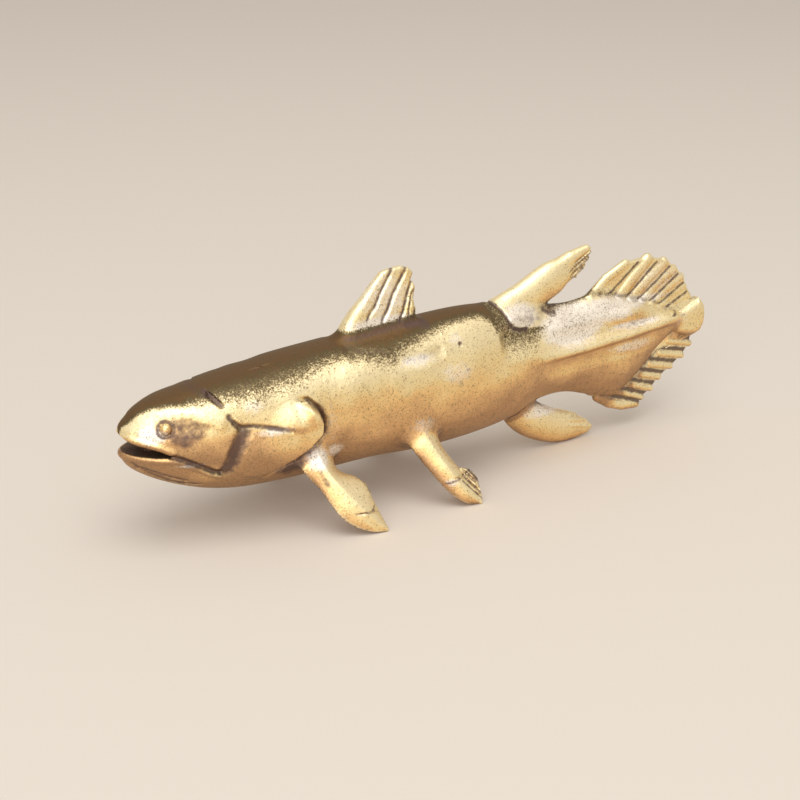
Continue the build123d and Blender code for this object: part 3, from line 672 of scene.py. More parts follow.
def settle(points, pitch, rounds=2):
    """Moves points onto the skin."""
    for _ in range(rounds):
        slope = slopes(points)
        gap = in_chunks(skin, points)
        step = gap[:, None] * slope / np.maximum((slope ** 2).sum(1), 0.05)[:, None]
        length = np.linalg.norm(step, axis=1)[:, None]
        points = points - step * np.minimum(1, 0.7 * pitch / np.maximum(length, 1e-9))
    return points


def relax(points, quads, rounds):
    """Evens out the mesh by moving each vertex part of the way to its neighbours' middle."""
    for _ in range(rounds):
        total = np.zeros_like(points)
        count = np.zeros(len(points))
        for i, j in ((0, 1), (1, 0), (1, 2), (2, 1), (2, 3), (3, 2), (3, 0), (0, 3)):
            for axis in range(3):
                total[:, axis] += np.bincount(quads[:, i], points[quads[:, j], axis], len(points))
            count += np.bincount(quads[:, i], minlength=len(points))
        points = points + 0.5 * (total / np.maximum(count, 1)[:, None] - points)
    return points


def islands(count, pairs):
    """For each item, the lowest item that it is joined to through the pairs."""
    root = np.arange(count)
    while True:
        low = np.minimum(root[pairs[:, 0]], root[pairs[:, 1]])
        new = root.copy()
        np.minimum.at(new, pairs[:, 0], low)
        np.minimum.at(new, pairs[:, 1], low)
        new = new[new]
        if (new == root).all():
            return root
        root = new


def face_pairs(quads):
    """Pairs of faces that share an edge."""
    edges = np.concatenate([np.sort(quads[:, [i, (i + 1) % 4]], axis=1) for i in range(4)])
    faces = np.tile(np.arange(len(quads)), 4)
    key = edges[:, 0].astype(np.int64) * (quads.max() + 1) + edges[:, 1]
    order = np.argsort(key, kind="stable")
    same = key[order][1:] == key[order][:-1]
    return np.column_stack([faces[order][1:][same], faces[order][:-1][same]])


def tidy_owners(quads, owner):
    """Gives islands of a casting's faces to the casting round them, so each casting is one skin."""
    pairs = face_pairs(quads)
    for _ in range(3):
        same = owner[pairs[:, 0]] == owner[pairs[:, 1]]
        root = islands(len(quads), pairs[same])
        sizes = np.bincount(root, minlength=len(quads))
        biggest = np.zeros(len(OWNERS), int)
        for i in range(len(OWNERS)):
            mine = np.unique(root[owner == i])
            biggest[i] = mine[np.argmax(sizes[mine])] if len(mine) else -1
        stray = root != biggest[owner]
        if not stray.any():
            break
        edge = pairs[stray[pairs[:, 0]] & ~stray[pairs[:, 1]]]
        edge = np.vstack([edge, pairs[stray[pairs[:, 1]] & ~stray[pairs[:, 0]]][:, ::-1]])
        new_owner = dict(zip(root[edge[:, 0]], owner[edge[:, 1]]))
        for face in np.flatnonzero(stray):
            owner[face] = new_owner.get(root[face], owner[face])
    return owner


# Patina and a painted dark reflection on the back: place along the fish, and the angles round the section
# where the brown crest ends and where the dark specks below it end (0 is the top, 180 the belly)
CAP_ROWS = [
    (-35, 12, 30), (-33.4, 10, 22), (-32, 12, 24), (-30.6, 18, 32), (-29.3, 24, 37), (-28.2, 20, 40),
    (-27.1, 14, 44), (-24, 10, 54), (-21.7, 10, 58), (-20.5, 10, 55), (-18.9, 10, 53), (-17.2, 10, 50),
    (-15.9, 10, 42), (-13, 10, 38), (-10.7, 12, 45), (-9.2, 16, 52), (-7.4, 20, 56), (-6.6, 20, 46),
    (-4, 15, 38), (-2, 12, 31), (0.9, 10, 25), (3.8, 9, 25), (4.8, 16, 36), (5.3, 24, 58), (5.8, 28, 68),
    (6.8, 32, 72), (8, 36, 74), (9.5, 40, 76), (10.6, 40, 74), (11.6, 26, 60), (12.7, 12, 42),
    (13.8, 4, 24), (15, 0, 8), (34, 0, 6),
]
# Dirt and painted shade lines in side view, in grooves and seams, under the gill cover's edge and at the fin
# roots: line, half width, strength
DIRT_AND_SHADE_LINES = [
    (SKULL_CREASE, 0.7, 0.35), (SKULL_SLOT, 0.42, 0.85), (CHEEK_SEAM, 0.5, 0.75), (CHEEK_GROOVE, 1.3, 0.8),
    (OPERCLE_GROOVE, 0.42, 0.75), (JAW_SEAM, 0.62, 0.75), (COLLAR_SEAM, 0.4, 0.75),
    (CHIN_LINES[0], 0.3, 0.5), (CHIN_LINES[1], 0.3, 0.5),
    # Painted shadow under the gill cover's free edge and in the notch below it
    ([(-17.3, 13.3), (-16.35, 12.5), (-15.75, 11.2), (-15.85, 9.9), (-17.2, 8.4), (-19, 7.25),
      (-20.5, 6.5)], 0.7, 0.6),
    ([(-19.6, 6.4), (-18.3, 6.9), (-17, 7.3)], 1.3, 0.8), ([(0.3, 15.53), (0.5, 15.53)], 0.35, 0.8),
    # Painted shade in the nooks at the fin roots
    ([(-4.4, 17.6), (-3.2, 17.6), (-2.2, 17.5)], 0.6, 0.7),
    ([(-11.3, 17.25), (-8, 17.45), (-4.5, 17.65)], 0.45, 0.5),
    ([(12.3, 16.4), (12.9, 16), (13.6, 15.9)], 0.6, 0.65),
    ([(8.2, 4.6), (9.2, 5.5), (10.1, 6.3), (11.7, 6.6)], 0.3, 0.75),
]
# Frosted, speckled places in side view: place, radii, strength
FROST = [
    (-32.6, 12, 1.7, 1, 0.9), (-21.3, 11.2, 2.4, 0.6, 0.6), (-15.1, 10.6, 1.2, 3.2, 0.2),
    (-16.9, 7.6, 1.7, 1.5, 0.8), (-14.7, 7.7, 1.3, 0.9, 0.6), (-7, 18.2, 4.6, 1.1, 1),
    (-6.4, 20.6, 4.2, 3.4, 0.5), (-4.9, 14.9, 2.8, 0.9, 0.6), (-0.6, 13, 2.6, 1.4, 0.4),
    (0, 15.9, 1.3, 1, 0.4), (9, 16.2, 3, 1.8, 1.2), (15.8, 14.3, 5.6, 2.7, 1.4),
    (20.5, 14.9, 5, 1.7, 1.2), (24.5, 12.8, 5, 0.6, 0.8), (25, 15, 5.5, 0.9, 0.8),
    (24, 10.3, 4.6, 0.8, 0.45), (-4.6, 8.2, 1.9, 1.2, 0.35), (14, 4.9, 5, 1.2, 0.9),
    (31, 12, 1.8, 0.8, 0.3), (-3, 2.7, 0.9, 0.6, 0.5), (-23, 13.6, 1.6, 0.9, 0.4),
    (28, 17, 6, 3, 0.3), (-29.4, 8.75, 2.2, 0.3, 0.5),
]


def between_rays(rays, inward):
    """The lines midway between neighbouring rays, lengthened inward by a share of the ray."""
    lines = []
    for (a, _), (b, _) in zip(rays, rays[1:]):
        foot, tip = (np.array(a)[[0, -1]] + np.array(b)[[0, -1]]) / 2
        lines.append([tuple(foot - np.subtract(a[-1], a[0]) * inward), tuple(tip)])
    return lines


# Dirt and painted shade lines on the fins of the middle line, in their grooves and in the gaps between the
# rays
FIN_DIRT_AND_SHADE = [(line, 0.9 * width, 0.75) for line, width, depth in SAIL_GROOVES]
FIN_DIRT_AND_SHADE += [(line, 0.24, 0.8) for line in between_rays(UPPER_RAYS, 0)]
FIN_DIRT_AND_SHADE += [(line, 0.46, 0.8) for line in between_rays(LOWER_RAYS, 0.3)]
FIN_DIRT_AND_SHADE += [(FAN_FOOT, 0.6, 0.45)]
FIN_DIRT_AND_SHADE += [([(15.8 + 0.25 * i, 19.78 - 0.43 * i), (18.75, 21.48 - 0.43 * i)], 0.16, 0.7) for i in range(3)]
# Dirt and painted shade lines on the outer faces of the paired fins
PAIRED_DIRT_AND_SHADE = [
    ([(-3.75, 2.56), (-3.09, 2.72), (-2.1, 2.95)], 0.2, 0.6), ([(-1.91, 2.63), (0.33, 0.2)], 0.14, 0.7),
    ([(-1.41, 2.75), (0.4, 0.6)], 0.14, 0.7), ([(-1, 3.2), (0.45, 1.1)], 0.14, 0.7),
    ([(-1.5, 4.2), (-0.6, 3.25), (0.1, 2.1), (0.55, 1), (0.6, 0)], 0.28, 0.8),
    ([(-14.57, 2.34), (-13.64, 2.27), (-12.86, 2.23), (-12.22, 2.54)], 0.17, 0.6),
    ([(-13.7, 5.7), (-12.75, 4.6), (-12.05, 3.4)], 0.16, 0.5), ([(-17, 6.2), (-16.6, 5.2)], 0.5, 0.45),
]
# The shaded hollow round the eye
ORBIT_SHADE = [
    (-32.2, 13.3), (-30.8, 13.6), (-29.2, 13.6), (-27.2, 12.7), (-28.2, 11.5), (-29.9, 10.5), (-30.9, 11.1),
    (-32.3, 12.2),
]
# How far out from the skin other metal is looked for, and the share of painted shade and dirt that it adds
SHADE_AND_DIRT_REACH = [(0.2, 0.35), (0.45, 0.35), (0.9, 0.3)]
RIDGE_REACH = 0.35  # how far under the skin open air is looked for: a ridge has it close by
# The dark ring of painted shade and dirt round an eye bead: distance from its middle, half width, strength
EYE_RING = (0.84, 0.27, 0.75)
# A darker place on the tail stalk: place, radii, slope, how much darker
TAIL_DARKENING = (24, 14, 4.4, 0.8, -0.12, 0.1)


def groove_dirt_and_shade(points, normals, off, fin, from_eye, shade):
    """Dirt and painted shade in nooks and grooves, in the mouth and round the eye."""
    x, y, z = points.T
    side = np.abs(y)
    grime = np.zeros(len(points))
    # Painted shade, with dirt, where other metal stands close over the skin
    for reach, share in SHADE_AND_DIRT_REACH:
        grime += share * np.clip(1 - in_chunks(skin, points + normals * reach) / reach, 0, 1)
    on_middle_fin = (side < 1.4) * step_up((off + 0.1) / 0.3)
    for marks, where in ((DIRT_AND_SHADE_LINES, 1 - fin), (FIN_DIRT_AND_SHADE, on_middle_fin), (PAIRED_DIRT_AND_SHADE, side > 5.6)):
        for line, width, strength in marks:
            grime = np.maximum(grime, strength * swell(line_gap(x, z, line)[0] / width) * where)
    # The inside of the mouth is painted dark as shade
    mouth = (x < -30.9) & (outline_gap(x, z, MOUTH) < 0.25)
    grime = np.maximum(grime, 1.4 * mouth * step_up((-off - 0.15) / 0.3))
    # Painted shade in the hollow round the eye
    grime = np.maximum(grime, 0.52 * shade)
    # Painted shade and dirt in the ring round the eye bead
    ring, width, strength = EYE_RING
    grime = np.maximum(grime, strength * swell((from_eye - ring) / width))
    return grime * (1 - 0.8 * step_up((0.68 - from_eye) / 0.1))


def back_cap(x, z, angle, fin):
    """The dark cap along the back, patina with a painted dark reflection, by the angle round the section,
    paler on the tail.
    """
    brown_to, dark_to = read_rows(x, CAP_ROWS), read_rows(x, CAP_ROWS, 2)
    cap = np.clip((dark_to + 5 - angle) / (dark_to + 5 - brown_to), 0, 1) * (1 - fin)
    cap = cap ** 0.75
    cap *= 1 - 0.42 * step_up((x - 4.8) / 1.0)
    above = step_up((z - read_rows(x, COLLAR_SEAM)) / 0.4 + 0.2)
    return cap * (1 - above * step_up((x - 6.1) / 0.3) * step_up((13.5 - x) / 1.6))


def gold_tone_and_painted_light(x, side, z, normals, angle, fin, shade):
    """How dark the gold is, from 0 on the back to 1 on the belly, with light and shade painted in: paler
    where the skin faces up, browner where it faces down.
    """
    lean = np.degrees(np.arccos(np.clip(normals[:, 2], -1, 1)))
    paired = step_up((side - 5.2) / 1.0)
    # Painted light and shade: paler toward the back and where the skin faces up, browner toward the belly and
    # where it faces down
    tone = (0.55 * angle + 0.45 * lean) * (1 - fin) + (0.8 + 0.05 * paired) * lean * fin
    tone = tone / 180 + 0.12 * shade - 0.08 * step_up((x - 9) / 5) * step_up((12 - z) / 2) * (1 - fin)
    plates = step_up((-16 - x) / 2) * step_up((11.9 - z) / 0.8) * (1 - fin)
    tone += 0.05 * plates - 0.16 * plates * step_up((9.2 - z) / 2) * step_up((-24.5 - x) / 2)
    tone += lobe(x, z, TAIL_DARKENING) * (1 - fin)
    # Painted shade on the front facets of the paired fins
    front = np.clip(-0.9 * normals[:, 0] - 0.3 * normals[:, 2], 0, 1)
    tone += 0.38 * front * paired * fin
    # A painted highlight along the top of the keel ridge
    crest = swell((z - read_rows(x, KEEL_RIDGE)) / 0.8)
    return tone - 0.06 * crest * step_up((x - 8) / 4) * (1 - fin)


def wear(points, normals):
    """How the skin is marked: dirt and painted shade, rubbed edges, the dark cap of patina and painted dark
    reflection, the tone of the gold with painted light and shade, frost.
    """
    x, y, z = points.T
    side = np.abs(y)
    off = in_chunks(lambda p: trunk_base(p[:, 0], np.abs(p[:, 1]), p[:, 2]), points)
    fin = step_up((off - 0.3) / 0.7)
    shade = step_up(-outline_gap(x, z, ORBIT_SHADE) / 0.8 + 0.4) * (1 - fin)
    grime = groove_dirt_and_shade(points, normals, off, fin, eye_gap(x, side, z), shade)
    ridge = np.clip(1 + in_chunks(skin, points - normals * RIDGE_REACH) / RIDGE_REACH, 0, 1)
    height, reach, half, _ = section(x, z)
    angle = np.degrees(np.arctan2(side / half, height / reach))
    frost = np.zeros(len(points))
    for px, pz, along, up, strength in FROST:
        spot = 1.5 * (1 - np.hypot((x - px) / along, (z - pz) / up))
        frost = np.maximum(frost, strength * np.clip(spot, 0, 1))
    return np.column_stack(
        [grime, ridge, back_cap(x, z, angle, fin), gold_tone_and_painted_light(x, side, z, normals, angle, fin, shade), frost])


WEAR = ("grime", "ridge", "cap", "tone", "frost")
_whole = {}


def whole_skin():
    """The whole fish's mesh, sculpted once: points, quads, owner of each quad, normals and wear."""
    if _whole:
        return _whole
    sizes = bpy.context.scene.fish_sizes
    pitch = sizes.skin_pitch / MM * 1
    low, values = sample_grid(pitch)
    points, quads = surface_nets(low, values, pitch)
    points = settle(points, pitch, 1)
    points = settle(relax(points, quads, 2), pitch, 2)
    owner = in_chunks(lambda p: skin(p, True)[1], points[quads].mean(1))
    owner = tidy_owners(quads, owner)
    slope = slopes(points)
    normals = slope / np.maximum(np.linalg.norm(slope, axis=1), 1e-6)[:, None]
    _whole.update(points=points, quads=quads, owner=owner, normals=normals, wear=wear(points, normals))
    return _whole


def boundary_loops(quads):
    """Closed rings of the edges that only one of the faces has, each running along its face."""
    edges = np.concatenate([quads[:, [i, (i + 1) % 4]] for i in range(4)]).astype(np.int64)
    size = quads.max() + 1
    follow = {}
    for a, b in edges[~np.isin(edges @ [size, 1], edges @ [1, size])]:
        follow.setdefault(a, []).append(b)
    rings = []
    while follow:
        start = next(iter(follow))
        ring = [start]
        at = start
        while at in follow:
            nxt = follow[at].pop()
            if not follow[at]:
                del follow[at]
            if nxt == start:
                break
            ring.append(nxt)
            at = nxt
        rings.append(ring)
    return rings


SEAT_DEPTH = 0.5


def casting_mesh(name):
    """One casting as a closed mesh: its share of the skin, with its seat closed inside the fish."""
    whole = whole_skin()
    quads = whole["quads"][whole["owner"] == OWNERS.index(name)]
    used, flat = np.unique(quads, return_inverse=True)
    quads = flat.reshape(quads.shape)
    points, normals = whole["points"][used], whole["normals"][used]
    marks = whole["wear"][used]
    faces = [tuple(q) for q in quads.tolist()]
    loop_normals = normals[quads.reshape(-1)]
    tips, cap_faces = [], []
    for ring in boundary_loops(quads):
        if len(ring) > 2:
            tip = len(points) + len(tips)
            tips.append(points[ring].mean(0) - normals[ring].mean(0) * SEAT_DEPTH)
            cap_faces += [(b, a, tip) for a, b in zip(ring, ring[1:] + ring[:1])]
    points = np.vstack([points] + tips)
    marks = np.vstack([marks, np.zeros((len(tips), len(WEAR)))])
    a, b, c = (points[list(corner)] for corner in zip(*cap_faces))
    cap_normals = np.cross(b - a, c - a)
    cap_normals /= np.maximum(np.linalg.norm(cap_normals, axis=1), 1e-9)[:, None]
    mesh = bpy.data.meshes.new(name)
    mesh.from_pydata((points * MM).tolist(), [], faces + cap_faces)
    mesh.shade_smooth()
    loops = np.vstack([loop_normals, np.repeat(cap_normals, 3, axis=0)])
    mesh.normals_split_custom_set(loops.tolist())
    for label, values in zip(WEAR, marks.T):
        mesh.attributes.new(label, "FLOAT", "POINT").data.foreach_set("value", values.astype(np.float32))
    mesh.validate()
    return mesh


def casting(name, finish):
    """Adds one casting to the scene in place of its CAD node."""
    piece = bpy.data.objects.new(name + "_cast", casting_mesh(name))
    bpy.context.scene.collection.objects.link(piece)
    piece.data.materials.append(finish)
    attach(piece, "root")
    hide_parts(name)


# Materials

def linear(code):
    """An sRGB hex colour as linear red, green, blue and alpha."""
    parts = [int(code[i:i + 2], 16) / 255 for i in (1, 3, 5)]
    return [p / 12.92 if p <= 0.04045 else ((p + 0.055) / 1.055) ** 2.4 for p in parts] + [1.0]


def add_node(tree, kind, settings=None, links=None, stops=(), out=0):
    """Adds a node, sets its fields, inputs and ramp stops, links sockets into it and gives an output."""
    node = tree.nodes.new(kind)
    for key, value in (settings or {}).items():
        if isinstance(key, int) or key in node.inputs:
            node.inputs[key].default_value = value
        else:
            setattr(node, key, value)
    for key, socket in (links or {}).items():
        tree.links.new(socket, node.inputs[key])
    for i, (place, value) in enumerate(stops):
        points = node.color_ramp.elements
        point = points[i] if i < 2 else points.new(place)
        point.position = place
        point.color = value if isinstance(value, (list, tuple)) else (value, value, value, 1)
    return node.outputs[out] if len(node.outputs) else None


# Node kinds and settings that are used over and over
MATH, RAMP, MIX = "ShaderNodeMath", "ShaderNodeValToRGB", "ShaderNodeMix"
LARGER = {"operation": "MAXIMUM"}
METAL = "cast brass, patinated, with painted light"
# Width of a blotch, a grain and a casting pit in millimetres, and how much finer detail each holds. The
# pits are about as fine as the picture can show
PATTERNS = [(3.0303, 3), (0.52632, 3), (0.16667, 1.5)]
# How deep the bumps of the grain and of the pits are, in metres
GRAIN_DEPTH, PIT_DEPTH = 0.00009, 0.00004


def patinated_brass_with_painted_light(finish):
    """Cast brass, aged dark on the back and in its grooves and rubbed bright where it is handled, with a
    painted dark reflection on the back and painted shade in the grooves and toward the belly.

    The eye sees pale gold with a soft painted sheen that turns ochre and brown toward the belly as painted
    shade, a brown crest of patina and painted dark reflection that breaks up into dark specks, violet-grey
    dirt and painted shade in the grooves, frosted places near the fin roots, and fine dark casting pits all
    over.
    """
    material = bpy.data.materials.new(METAL)
    material.use_nodes = True
    tree = material.node_tree
    tree.nodes.clear()
    place = add_node(tree, "ShaderNodeTexCoord", out="Object")
    grime, ridge, cap, tone, frost = [
        add_node(tree, "ShaderNodeAttribute", {"attribute_name": name}, out="Fac") for name in WEAR]
    mix = {"data_type": "RGBA", "clamp_factor": True}
    add, scale = {"operation": "ADD"}, {"operation": "MULTIPLY_ADD"}

    blotch, grain, pits = [
        add_node(tree, "ShaderNodeTexNoise", {"Scale": 1 / (width * MM), "Detail": detail}, {"Vector": place})
        for width, detail in PATTERNS]
    specks = add_node(tree, MATH, {**scale, 1: 2.2, 2: -1.1}, {0: pits})
    drift = add_node(tree, MATH, {**scale, 1: 0.22, 2: -0.11}, {0: blotch})
    rough_edge = add_node(tree, MATH, {**scale, 1: 0.8, 2: -0.4}, {0: grain})

    # Gold by how far the skin leans over, with light and shade painted in: pale on top, browner below; paler
    # on the rubbed ridges
    leaning = add_node(tree, MATH, add, {0: tone, 1: drift})
    gold = add_node(tree, RAMP, links={"Fac": leaning}, stops=[
        (0.3, finish["pale"]), (0.62, finish["brown"]), (0.4, finish["bright"]), (0.48, finish["gold"]),
        (0.54, finish["ochre"])])
    edge = add_node(tree, RAMP, links={"Fac": ridge}, stops=[(0.25, 0.0), (0.8, 0.75)])
    gold = add_node(tree, MIX, {**mix, 7: finish["pale"]}, {0: edge, 6: gold}, out=2)

    # Frost: paler and greyer, broken by violet-grey specks
    haze = add_node(tree, MATH, add, {0: frost, 1: rough_edge})
    haze = add_node(tree, RAMP, links={"Fac": haze}, stops=[(0.15, 0.0), (0.7, 0.9)])
    gold = add_node(tree, MIX, {**mix, 7: finish["frost"]}, {0: haze, 6: gold}, out=2)
    fleck = add_node(tree, MATH, {**scale, 1: 0.08}, {0: frost, 2: specks})
    fleck = add_node(tree, MATH, {**scale, 1: 0.5}, {0: leaning, 2: fleck})
    fleck = add_node(tree, MATH, {**scale, 1: 1.3}, {0: drift, 2: fleck})
    fleck = add_node(tree, RAMP, links={"Fac": fleck}, stops=[(0.3, 0.0), (0.85, 0.75)])
    gold = add_node(tree, MIX, {**mix, 7: finish["fleck"]}, {0: fleck, 6: gold}, out=2)

    # The cap on the back, patina and a painted dark reflection: brown on the crest, darker below it, then
    # specks on grey gold
    shade = add_node(tree, MATH, {**scale, 1: 0.45}, {0: specks, 2: cap})
    shade = add_node(tree, MATH, {**scale, 1: 0.55}, {0: rough_edge, 2: shade})
    dark = add_node(tree, RAMP, links={"Fac": shade}, stops=[
        (0.2, finish["mottle"]), (1, finish["cap"]), (0.7, finish["soot"])])
    shade = add_node(tree, RAMP, links={"Fac": shade}, stops=[(0.12, 0.0), (0.5, 0.95)])
    gold = add_node(tree, MIX, mix, {0: shade, 6: gold, 7: dark}, out=2)

    # Dirt and painted shade in the grooves, hollows and mouth
    dirt_and_shade_fac = add_node(tree, MATH, add, {0: grime, 1: rough_edge})
    dirt_and_shade_fac = add_node(tree, RAMP, links={"Fac": dirt_and_shade_fac}, stops=[(0.14, 0.0), (0.66, 0.9)])
    colour = add_node(tree, MIX, {**mix, 7: finish["grime"]}, {0: dirt_and_shade_fac, 6: gold}, out=2)

    dull = add_node(tree, MATH, LARGER, {0: haze, 1: dirt_and_shade_fac})
    dull = add_node(tree, MATH, LARGER, {0: dull, 1: shade})
    rough = add_node(tree, RAMP, links={"Fac": dull}, stops=[(0.0, 0.45), (1.0, 0.58)])
    relief = add_node(tree, "ShaderNodeBump", {"Strength": 0.5, "Distance": GRAIN_DEPTH}, {"Height": grain})
    fine = add_node(tree, "ShaderNodeBump", {"Strength": 0.5, "Distance": PIT_DEPTH},
                    {"Height": pits, "Normal": relief})
    shader = add_node(tree, "ShaderNodeBsdfPrincipled", {"Metallic": 1.0},
                      {"Base Color": colour, "Roughness": rough, "Normal": fine})
    add_node(tree, "ShaderNodeOutputMaterial", links={"Surface": shader})
    return material


def brass():
    """The fish's one metal, made once."""
    if METAL in bpy.data.materials:
        return bpy.data.materials[METAL]
    finish = bpy.context.scene.fish_finish
    return patinated_brass_with_painted_light({name: (*getattr(finish, name), 1.0) for name in COLOURS})


def pale_board():
    """Matt pale board: the studio floor."""
    material = bpy.data.materials.new("matt pale board")
    material.use_nodes = True
    tree = material.node_tree
    tree.nodes.clear()
    colour = (*bpy.context.scene.fish_finish.board, 1.0)
    shader = add_node(tree, "ShaderNodeBsdfPrincipled", {"Base Color": colour, "Roughness": 0.85})
    add_node(tree, "ShaderNodeOutputMaterial", links={"Surface": shader})
    return material


# Add-on

class FishSizes(bpy.types.PropertyGroup):
    """The sizes that a user may change"""
    skin_pitch: FloatProperty(
        name="Skin pitch", description="Spacing of the sculpted skin's mesh", default=0.00016,
        min=0.0001, max=0.001, unit="LENGTH", precision=5)
    floor_size: FloatProperty(
        name="Floor size", description="Width of the studio floor", default=3.0, unit="LENGTH")


# Colours: sRGB hex, label, what it colours
COLOURS = {
    # The next five colours are steps of painted light and shade on the gold: pale on top with a painted sheen
    # on the upper flanks, browner toward the belly as painted shade; the palest is also the rubbed metal of
    # the edges
    "pale": ("#FBECC0", "Pale gold", "Painted sheen on the upper flanks, and rubbed metal on the edges"),
    "bright": ("#FAE4AC", "Bright gold", "Metal below the painted sheen"),
    "gold": ("#F4CE90", "Gold", "Metal at the widest line"),
    "ochre": ("#E2B884", "Ochre", "Metal on the lower flanks"),
    "brown": ("#C09870", "Brown", "Metal on the belly and undersides"),
    # The next three colours paint the back's patina together with a painted dark reflection along the top
    "cap": ("#6C4C2A", "Back patina and painted reflection", "Dark patina and painted dark reflection on the crest of the back"),
    "soot": ("#544830", "Shoulder patina and painted reflection", "Darkest specks, below the crest"),
    "mottle": ("#AA9670", "Mottle", "Grey gold where the back's patina and painted reflection break up"),
    # The next colour paints groove dirt together with painted shade in hollows, under edges and in the mouth
    "grime": ("#6B5852", "Groove dirt", "Violet-grey dirt in the grooves"),
    "frost": ("#FFFAF2", "Frost", "Pale frosted places near the fin roots"),
    "fleck": ("#8C7658", "Flecks", "Fine dark casting pits"),
    "board": ("#DCD2C6", "Floor board", "Pale studio floor"),
}
# The world's light on the fish, and what the camera and the metal see of it: sRGB hex, strength
FILL_LIGHT = ("#F2EFEA", 0.65)
BACKDROP = ("#DED5CA", 1.0)


class FishFinish(bpy.types.PropertyGroup):
    """The colours that a user may change"""
    __annotations__ = {
        name: FloatVectorProperty(
            name=label, description=about, subtype="COLOR", default=linear(code)[:3], min=0, max=1)
        for name, (code, label, about) in COLOURS.items()}


class ORNAMENT_OT_body(bpy.types.Operator):
    """Sculpt the body casting"""
    bl_idname = "ornament.body"
    bl_label = "Body"

    def execute(self, context):
        casting("body", brass())
        return {"FINISHED"}


class ORNAMENT_OT_head_pieces(bpy.types.Operator):
    """Sculpt the lower jaw, the gill covers and the eye beads"""
    bl_idname = "ornament.head_pieces"
    bl_label = "Jaw, gill covers and eyes"

    def execute(self, context):
        casting("lower_jaw", brass())
        for side in ("left", "right"):
            casting("gill_cover_" + side, brass())
            casting("eye_" + side, brass())
        return {"FINISHED"}


class ORNAMENT_OT_middle_fins(bpy.types.Operator):
    """Sculpt the fins on the middle line"""
    bl_idname = "ornament.middle_fins"
    bl_label = "Dorsal and anal fins"

    def execute(self, context):
        for name in ("first_dorsal_fin", "second_dorsal_fin", "anal_fin"):
            casting(name, brass())
        return {"FINISHED"}


class ORNAMENT_OT_paired_fins(bpy.types.Operator):
    """Sculpt the pectoral and pelvic fins"""
    bl_idname = "ornament.paired_fins"
    bl_label = "Paired fins"

    def execute(self, context):
        for name in ("pectoral_fin", "pelvic_fin"):
            for side in ("left", "right"):
                casting(name + "_" + side, brass())
        return {"FINISHED"}


class ORNAMENT_OT_tail(bpy.types.Operator):
    """Sculpt the tail fans and the leaf at the tail's tip"""
    bl_idname = "ornament.tail"
    bl_label = "Tail"

    def execute(self, context):
        for name in ("tail_fin_upper", "tail_fin_lower"):
            casting(name, brass())
        casting("tail_tip", brass())
        return {"FINISHED"}


# Lamps: name, place, what it points at, width, power in watts
LAMPS = [
    ("overhead soft box", (-0.05, -0.12, 0.42), (0, 0, 0.01), 0.38, 1.0),
    ("front fill", (-0.35, -0.45, 0.25), (0, 0, 0.01), 0.50, 1.5),
]
CAMERA_PLACE = (-0.0854, -0.14028, 0.0745)
CAMERA_AIM = (-0.00441, 0, 0.00906)
CAMERA_LENS = 76.5
CAMERA_SENSOR = 36.0


def facing(place, aim):
    """The turn that points a lamp or camera at a spot."""
    return (Vector(aim) - Vector(place)).to_track_quat("-Z", "Y").to_euler()


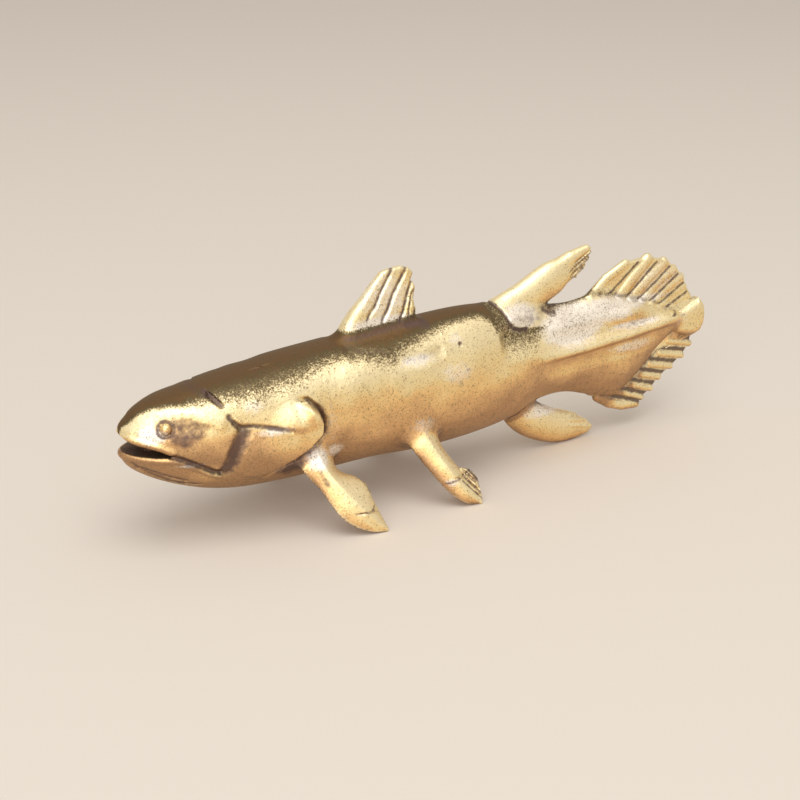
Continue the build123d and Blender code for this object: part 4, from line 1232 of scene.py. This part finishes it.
class ORNAMENT_OT_stage(bpy.types.Operator):
    """Set the floor, the lights, the world and the camera"""
    bl_idname = "ornament.stage"
    bl_label = "Studio stage"

    def execute(self, context):
        scene = context.scene
        half = scene.fish_sizes.floor_size / 2
        mesh = bpy.data.meshes.new("floor")
        corners = [(-half, -half, 0), (half, -half, 0), (half, half, 0), (-half, half, 0)]
        mesh.from_pydata(corners, [], [(0, 1, 2, 3)])
        floor = bpy.data.objects.new("floor", mesh)
        floor.data.materials.append(pale_board())
        scene.collection.objects.link(floor)

        world = bpy.data.worlds.new("studio")
        scene.world = world
        world.use_nodes = True
        tree = world.node_tree
        tree.nodes.clear()
        path = add_node(tree, "ShaderNodeLightPath").node
        seen = path.outputs["Is Camera Ray"]
        for ray in ("Is Glossy Ray", "Is Transmission Ray"):
            seen = add_node(tree, MATH, LARGER, {0: seen, 1: path.outputs[ray]})
        fill, backdrop = [
            add_node(tree, "ShaderNodeBackground", {"Color": linear(code), "Strength": strength})
            for code, strength in (FILL_LIGHT, BACKDROP)]
        both = add_node(tree, "ShaderNodeMixShader", links={0: seen, 1: fill, 2: backdrop})
        add_node(tree, "ShaderNodeOutputWorld", links={"Surface": both})

        for name, spot, aim, width, power in LAMPS:
            lamp = bpy.data.lights.new(name, "AREA")
            lamp.shape = "SQUARE"
            lamp.size = width
            lamp.energy = power
            holder = bpy.data.objects.new(name, lamp)
            holder.location = spot
            holder.rotation_euler = facing(spot, aim)
            scene.collection.objects.link(holder)

        lens = bpy.data.cameras.new("camera")
        lens.lens = CAMERA_LENS
        lens.sensor_width = CAMERA_SENSOR
        lens.clip_start = 0.001
        camera = bpy.data.objects.new("camera", lens)
        camera.location = CAMERA_PLACE
        camera.rotation_euler = facing(CAMERA_PLACE, CAMERA_AIM)
        scene.collection.objects.link(camera)
        scene.camera = camera
        scene.view_settings.view_transform = "Standard"
        return {"FINISHED"}


class ORNAMENT_PT_panel(bpy.types.Panel):
    bl_idname = "ORNAMENT_PT_panel"
    bl_label = "Brass lobe-finned fish"
    bl_space_type = "VIEW_3D"
    bl_region_type = "UI"
    bl_category = "Ornament"

    def draw(self, context):
        column = self.layout.column()
        for name in ("skin_pitch", "floor_size"):
            column.prop(context.scene.fish_sizes, name)
        for name in COLOURS:
            column.prop(context.scene.fish_finish, name)
        for operator in OPERATORS:
            column.operator(operator.bl_idname)


OPERATORS = [
    ORNAMENT_OT_stage, ORNAMENT_OT_body, ORNAMENT_OT_head_pieces, ORNAMENT_OT_middle_fins,
    ORNAMENT_OT_paired_fins, ORNAMENT_OT_tail,
]
CLASSES = [FishSizes, FishFinish] + OPERATORS + [ORNAMENT_PT_panel]


def register():
    for cls in CLASSES:
        bpy.utils.register_class(cls)
    bpy.types.Scene.fish_sizes = PointerProperty(type=FishSizes)
    bpy.types.Scene.fish_finish = PointerProperty(type=FishFinish)


def unregister():
    del bpy.types.Scene.fish_finish
    del bpy.types.Scene.fish_sizes
    for cls in reversed(CLASSES):
        bpy.utils.unregister_class(cls)


def main():
    register()
    bpy.ops.ornament.stage()
    bpy.ops.ornament.body()
    bpy.ops.ornament.head_pieces()
    bpy.ops.ornament.middle_fins()
    bpy.ops.ornament.paired_fins()
    bpy.ops.ornament.tail()


if __name__ == "__main__":
    main()
